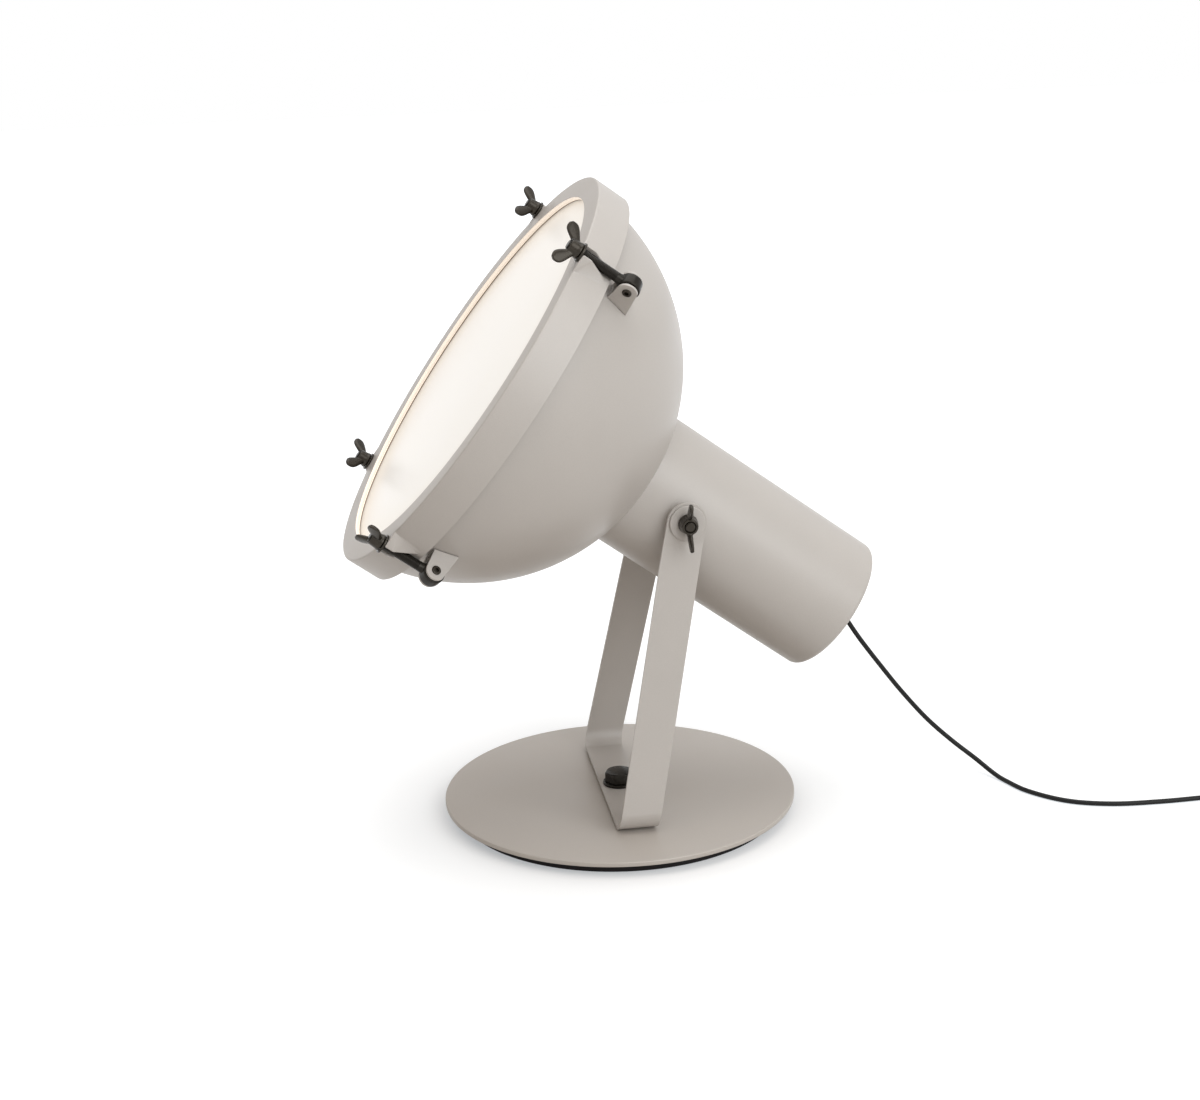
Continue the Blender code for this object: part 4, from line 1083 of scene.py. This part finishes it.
def lug_skin():
    """A bent sheet lug with eased edges, cut to the bowl's surface."""
    pin_ahead = ring_front - clamp_pin_behind_ring - bowl_centre
    level = math.sqrt(bowl_radius**2 - pin_ahead**2)
    surface = level - clamp_bolt_circle
    slope = -pin_ahead / level
    deep = surface - lug_foot
    outline = [(deep, lug_foot_front), (deep, -lug_foot)]
    outline += arc(0, 0, lug_ear_radius, -62, 88, 20)
    lug = extruded("lug_skin", outline, -lug_half_out, lug_half_out, "XZ")
    web = surface + lug_thickness + seat_gap
    slot = [
        (web + slope * lug_window_ahead, lug_window_ahead),
        (web - slope * lug_window_behind, -lug_window_behind),
        (lug_window_out, -lug_window_behind), (lug_window_out, lug_window_ahead),
    ]
    lug = combined(lug, extruded("slot", slot, -lug_half_in, lug_half_in, "XZ"), "DIFFERENCE")
    bore = moved_mesh(disc("bore", pin_bore, -0.02, 0.02), turn("X", 90))
    lug = combined(lug, bore, "DIFFERENCE")
    room = turned("room", [(0, bowl_centre - bowl_radius - 0.001)] + bowl_points(lug_bowl_gap)
                  + [(0, flange_back)], round_steps)
    room = moved_mesh(room, clamp_place(clamp_angles["top_near"]).inverted())
    return bevelled(combined(lug, room, "DIFFERENCE"), 0.00035, 2, 30)


def clamp_pin_skin():
    """The lug's pin with a socket in its low round head."""
    reach = lug_half_out
    head_low = reach + seat_gap
    head_high = head_low + clamp_pin_head_height
    edge_centre = (clamp_pin_head_radius - clamp_pin_head_edge, head_high - clamp_pin_head_edge)
    body = turned("lug_pin_skin", [
        (0, -reach), (clamp_pin_radius - clamp_pin_chamfer, -reach),
        (clamp_pin_radius, -reach + clamp_pin_chamfer),
        (clamp_pin_radius, head_low), (clamp_pin_head_radius, head_low),
    ] + arc(*edge_centre, clamp_pin_head_edge, 0, 90, 4) + [(0, head_high)], 48)
    socket = extruded("socket", arc(0, 0, socket_radius, 0, 300, 5), head_high - socket_depth,
                      head_high + 0.002)
    return combined(body, socket, "DIFFERENCE")


def swing_bolt_skin():
    """A forged eye bolt: a rounded eye round the pin, a neck and a threaded shank."""
    half = eye_width / 2
    eye = turned("swing_bolt_skin", rounded(rectangle(0, eye_radius, -half, half), 0.0012), 56)
    eye = moved_mesh(eye, turn("X", 90))
    neck = turned("neck", [
        (0, 0.004), (0.0050, 0.004), (0.0043, 0.0092), (clamp_bolt_radius, 0.0110), (0, 0.0110),
    ], 40)
    shank = threaded("shank", clamp_bolt_radius, low=0.006, thread_low=0.0125,
                     high=clamp_nut_seat + clamp_hub_height + bolt_past_nut)
    bolt = combined(combined(eye, neck, "UNION"), shank, "UNION")
    bore = moved_mesh(disc("bore", pin_bore, -0.01, 0.01), turn("X", 90))
    return combined(bolt, bore, "DIFFERENCE")


clamp_nut = wing_nut_mesh("clamp_nut_skin", base=0.0066, top=0.0056, hub_height=clamp_hub_height,
                          height=0.0178, half_span=0.0182, lobe=0.0052, thick=0.0034, voxel=0.00038)
lug = lug_skin()
pin = clamp_pin_skin()
bolt = swing_bolt_skin()
clamp_ring = flat_washer("clamp_washer_skin", nut_bore, radius=0.0078, low=0.0438, high=0.0454)
for name, angle in clamp_angles.items():
    which = "_" + name
    guide = head_place @ clamp_place(angle)
    head_side = 90 if abs(angle) < 90 else -90
    place = guide @ shift(0, 0, clamp_nut_seat) @ turn("Z", clamp_nut_turns[name])
    put("clamp_nut", clamp_nut, "black_steel", "clamp_nut" + which, place, which)
    put("swing_bolt", bolt, "dark_steel", "clamp_bolt" + which, guide, which)
    put("clamp_washer", clamp_ring, "black_steel", "clamp_washer" + which, guide, which)
    put("lug", lug, "sand_paint", "head", guide, which)
    put("lug_pin", pin, "black_steel", "head", guide @ turn("X", head_side), which)


# Swivel bolt and washer

head_bevel_low = 0.0124
head_bevel_high = 0.0108
head_bevel_height = 0.0014

hex_head = extruded("swivel_bolt_skin", hexagon(swivel_head_flats), swivel_head_low, swivel_head_high)
chamfer = turned("chamfer", [
    (0, swivel_head_low - 0.0002), (head_bevel_low, swivel_head_low - 0.0002),
    (head_bevel_low, swivel_head_high - head_bevel_height), (head_bevel_high, swivel_head_high),
    (0, swivel_head_high),
], 96)
hex_head = bevelled(combined(hex_head, chamfer, "INTERSECT"), 0.0003, 2, 25)
swivel_shank = threaded("swivel_shank", radius=0.007, low=0.0027, thread_low=0.0027, high=0.0246,
                        pitch=0.002, steps=40)
swivel_bolt = combined(hex_head, swivel_shank, "UNION")
put("swivel_bolt", swivel_bolt, "dark_steel", "base")
swivel_washer = flat_washer("swivel_washer_skin", swivel_bore, radius=0.014, low=0.0181, high=0.0203)
put("swivel_washer", swivel_washer, "dark_steel", "base")


# Gland

gland_face = drum_back - seat_gap
gland_top = gland_face + 0.011
dome = gland_face - 0.0035
nose = dome - 0.0055
cord_way = cord_radius + seat_gap
gland = turned("cord_gland_skin", [
    (cord_way, gland_top), (0.0056, gland_top), (0.006, gland_top - 0.0004),
    (0.006, gland_face), (0.0091, gland_face), (0.0095, gland_face - 0.0004), (0.0095, dome + 0.0006),
    (0.0089, dome), (0.0078, dome), (0.0077, dome - 0.0012), (0.0070, dome - 0.0026),
    (0.0055, dome - 0.0042), (0.0041, nose + 0.0004), (0.0034, nose), (0, nose), (0, dome),
    (cord_way, dome),
], 72)
put("cord_gland", gland, "black_plastic", "head", head_place)


# Every solid that stays takes a full material of its slot

for entry in frame["record"]["subparts"]:
    node = frame["nodes"][entry["node"]]
    node.data.materials.clear()
    node.data.materials.append(materials[entry["material_slot"]])


# Floor, light and surroundings

def seen_rays(tree):
    """One for rays from the camera, from a mirror-like surface or through glass, else zero."""
    path = tree.nodes.new("ShaderNodeLightPath")
    total = path.outputs["Is Camera Ray"]
    for name in ("Is Glossy Ray", "Is Transmission Ray"):
        either = tree.nodes.new("ShaderNodeMath")
        either.operation = "MAXIMUM"
        tree.links.new(total, either.inputs[0])
        tree.links.new(path.outputs[name], either.inputs[1])
        total = either.outputs["Value"]
    return total


def grey(level):
    return (level, level, level)


# The floor glows white where it is seen. Close to the base its glow is lower, which paints a soft shadow
# round the base on top of the lamps' own shadows. Further out the glow fades to even white.
fade_distance = 2.6
floor_glow_and_painted_shade = [(0.14, 0.38), (0.17, 0.56), (0.25, 0.68), (fade_distance, 1.15)]

ground = Shader("studio_floor")
ground.set(Base_Color=(0.55, 0.52, 0.488, 1.0), Roughness=0.9, Emission_Color=(0.89, 0.945, 1.0, 1.0))
from_middle = ground.vector("LENGTH", ground.place(), output="Value")
far_out = ground.maths("DIVIDE", from_middle, fade_distance)
fade = ground.ramp(far_out, [(place / fade_distance, grey(level)) for place, level in floor_glow_and_painted_shade])
glow = ground.maths("MULTIPLY", seen_rays(ground.tree), fade)
ground.feed(glow, "Emission Strength")
floor_mesh = extruded("studio_floor", rectangle(-6, 6, -4, 8), -0.02, 0.0)
floor_mesh.materials.append(ground.material)
floor = bpy.data.objects.new("studio_floor", floor_mesh)
bpy.context.collection.objects.link(floor)


def area_light(name, place, target, size, power, colour):
    """A square lamp in metres and watts that faces its target."""
    light = bpy.data.lights.new(name, "AREA")
    light.shape = "SQUARE"
    light.size = size
    light.energy = power
    light.color = colour
    item = bpy.data.objects.new(name, light)
    bpy.context.collection.objects.link(item)
    aim = (Vector(target) - Vector(place)).to_track_quat("-Z", "Y")
    item.matrix_world = Matrix.LocRotScale(Vector(place), aim, Vector((1, 1, 1)))


area_light("key_light", (1.4, -2.5, 1.6), (0, 0, 0.25), 2.4, 58, (0.938, 0.977, 1.0))
area_light("top_light", (0.3, 0.2, 3.2), (0, 0, 0.25), 3.0, 55, (0.965, 0.985, 1.0))
area_light("left_light", (-1.0, -0.4, 1.6), (-0.05, 0, 0.4), 0.9, 3.0, (1.0, 0.93, 0.86))

world = bpy.data.worlds.new("studio")
bpy.context.scene.world = world
world.use_nodes = True
tree = world.node_tree
tree.nodes.clear()


def background(colour, strength):
    node = tree.nodes.new("ShaderNodeBackground")
    node.inputs["Color"].default_value = (*colour, 1.0)
    node.inputs["Strength"].default_value = strength
    return node.outputs["Background"]


choice = tree.nodes.new("ShaderNodeMixShader")
tree.links.new(seen_rays(tree), choice.inputs["Fac"])
tree.links.new(background((1.0, 0.90, 0.80), 0.385), choice.inputs[1])
tree.links.new(background(white, 1.0), choice.inputs[2])
output = tree.nodes.new("ShaderNodeOutputWorld")
tree.links.new(choice.outputs["Shader"], output.inputs["Surface"])
bpy.context.scene.view_settings.view_transform = "Standard"
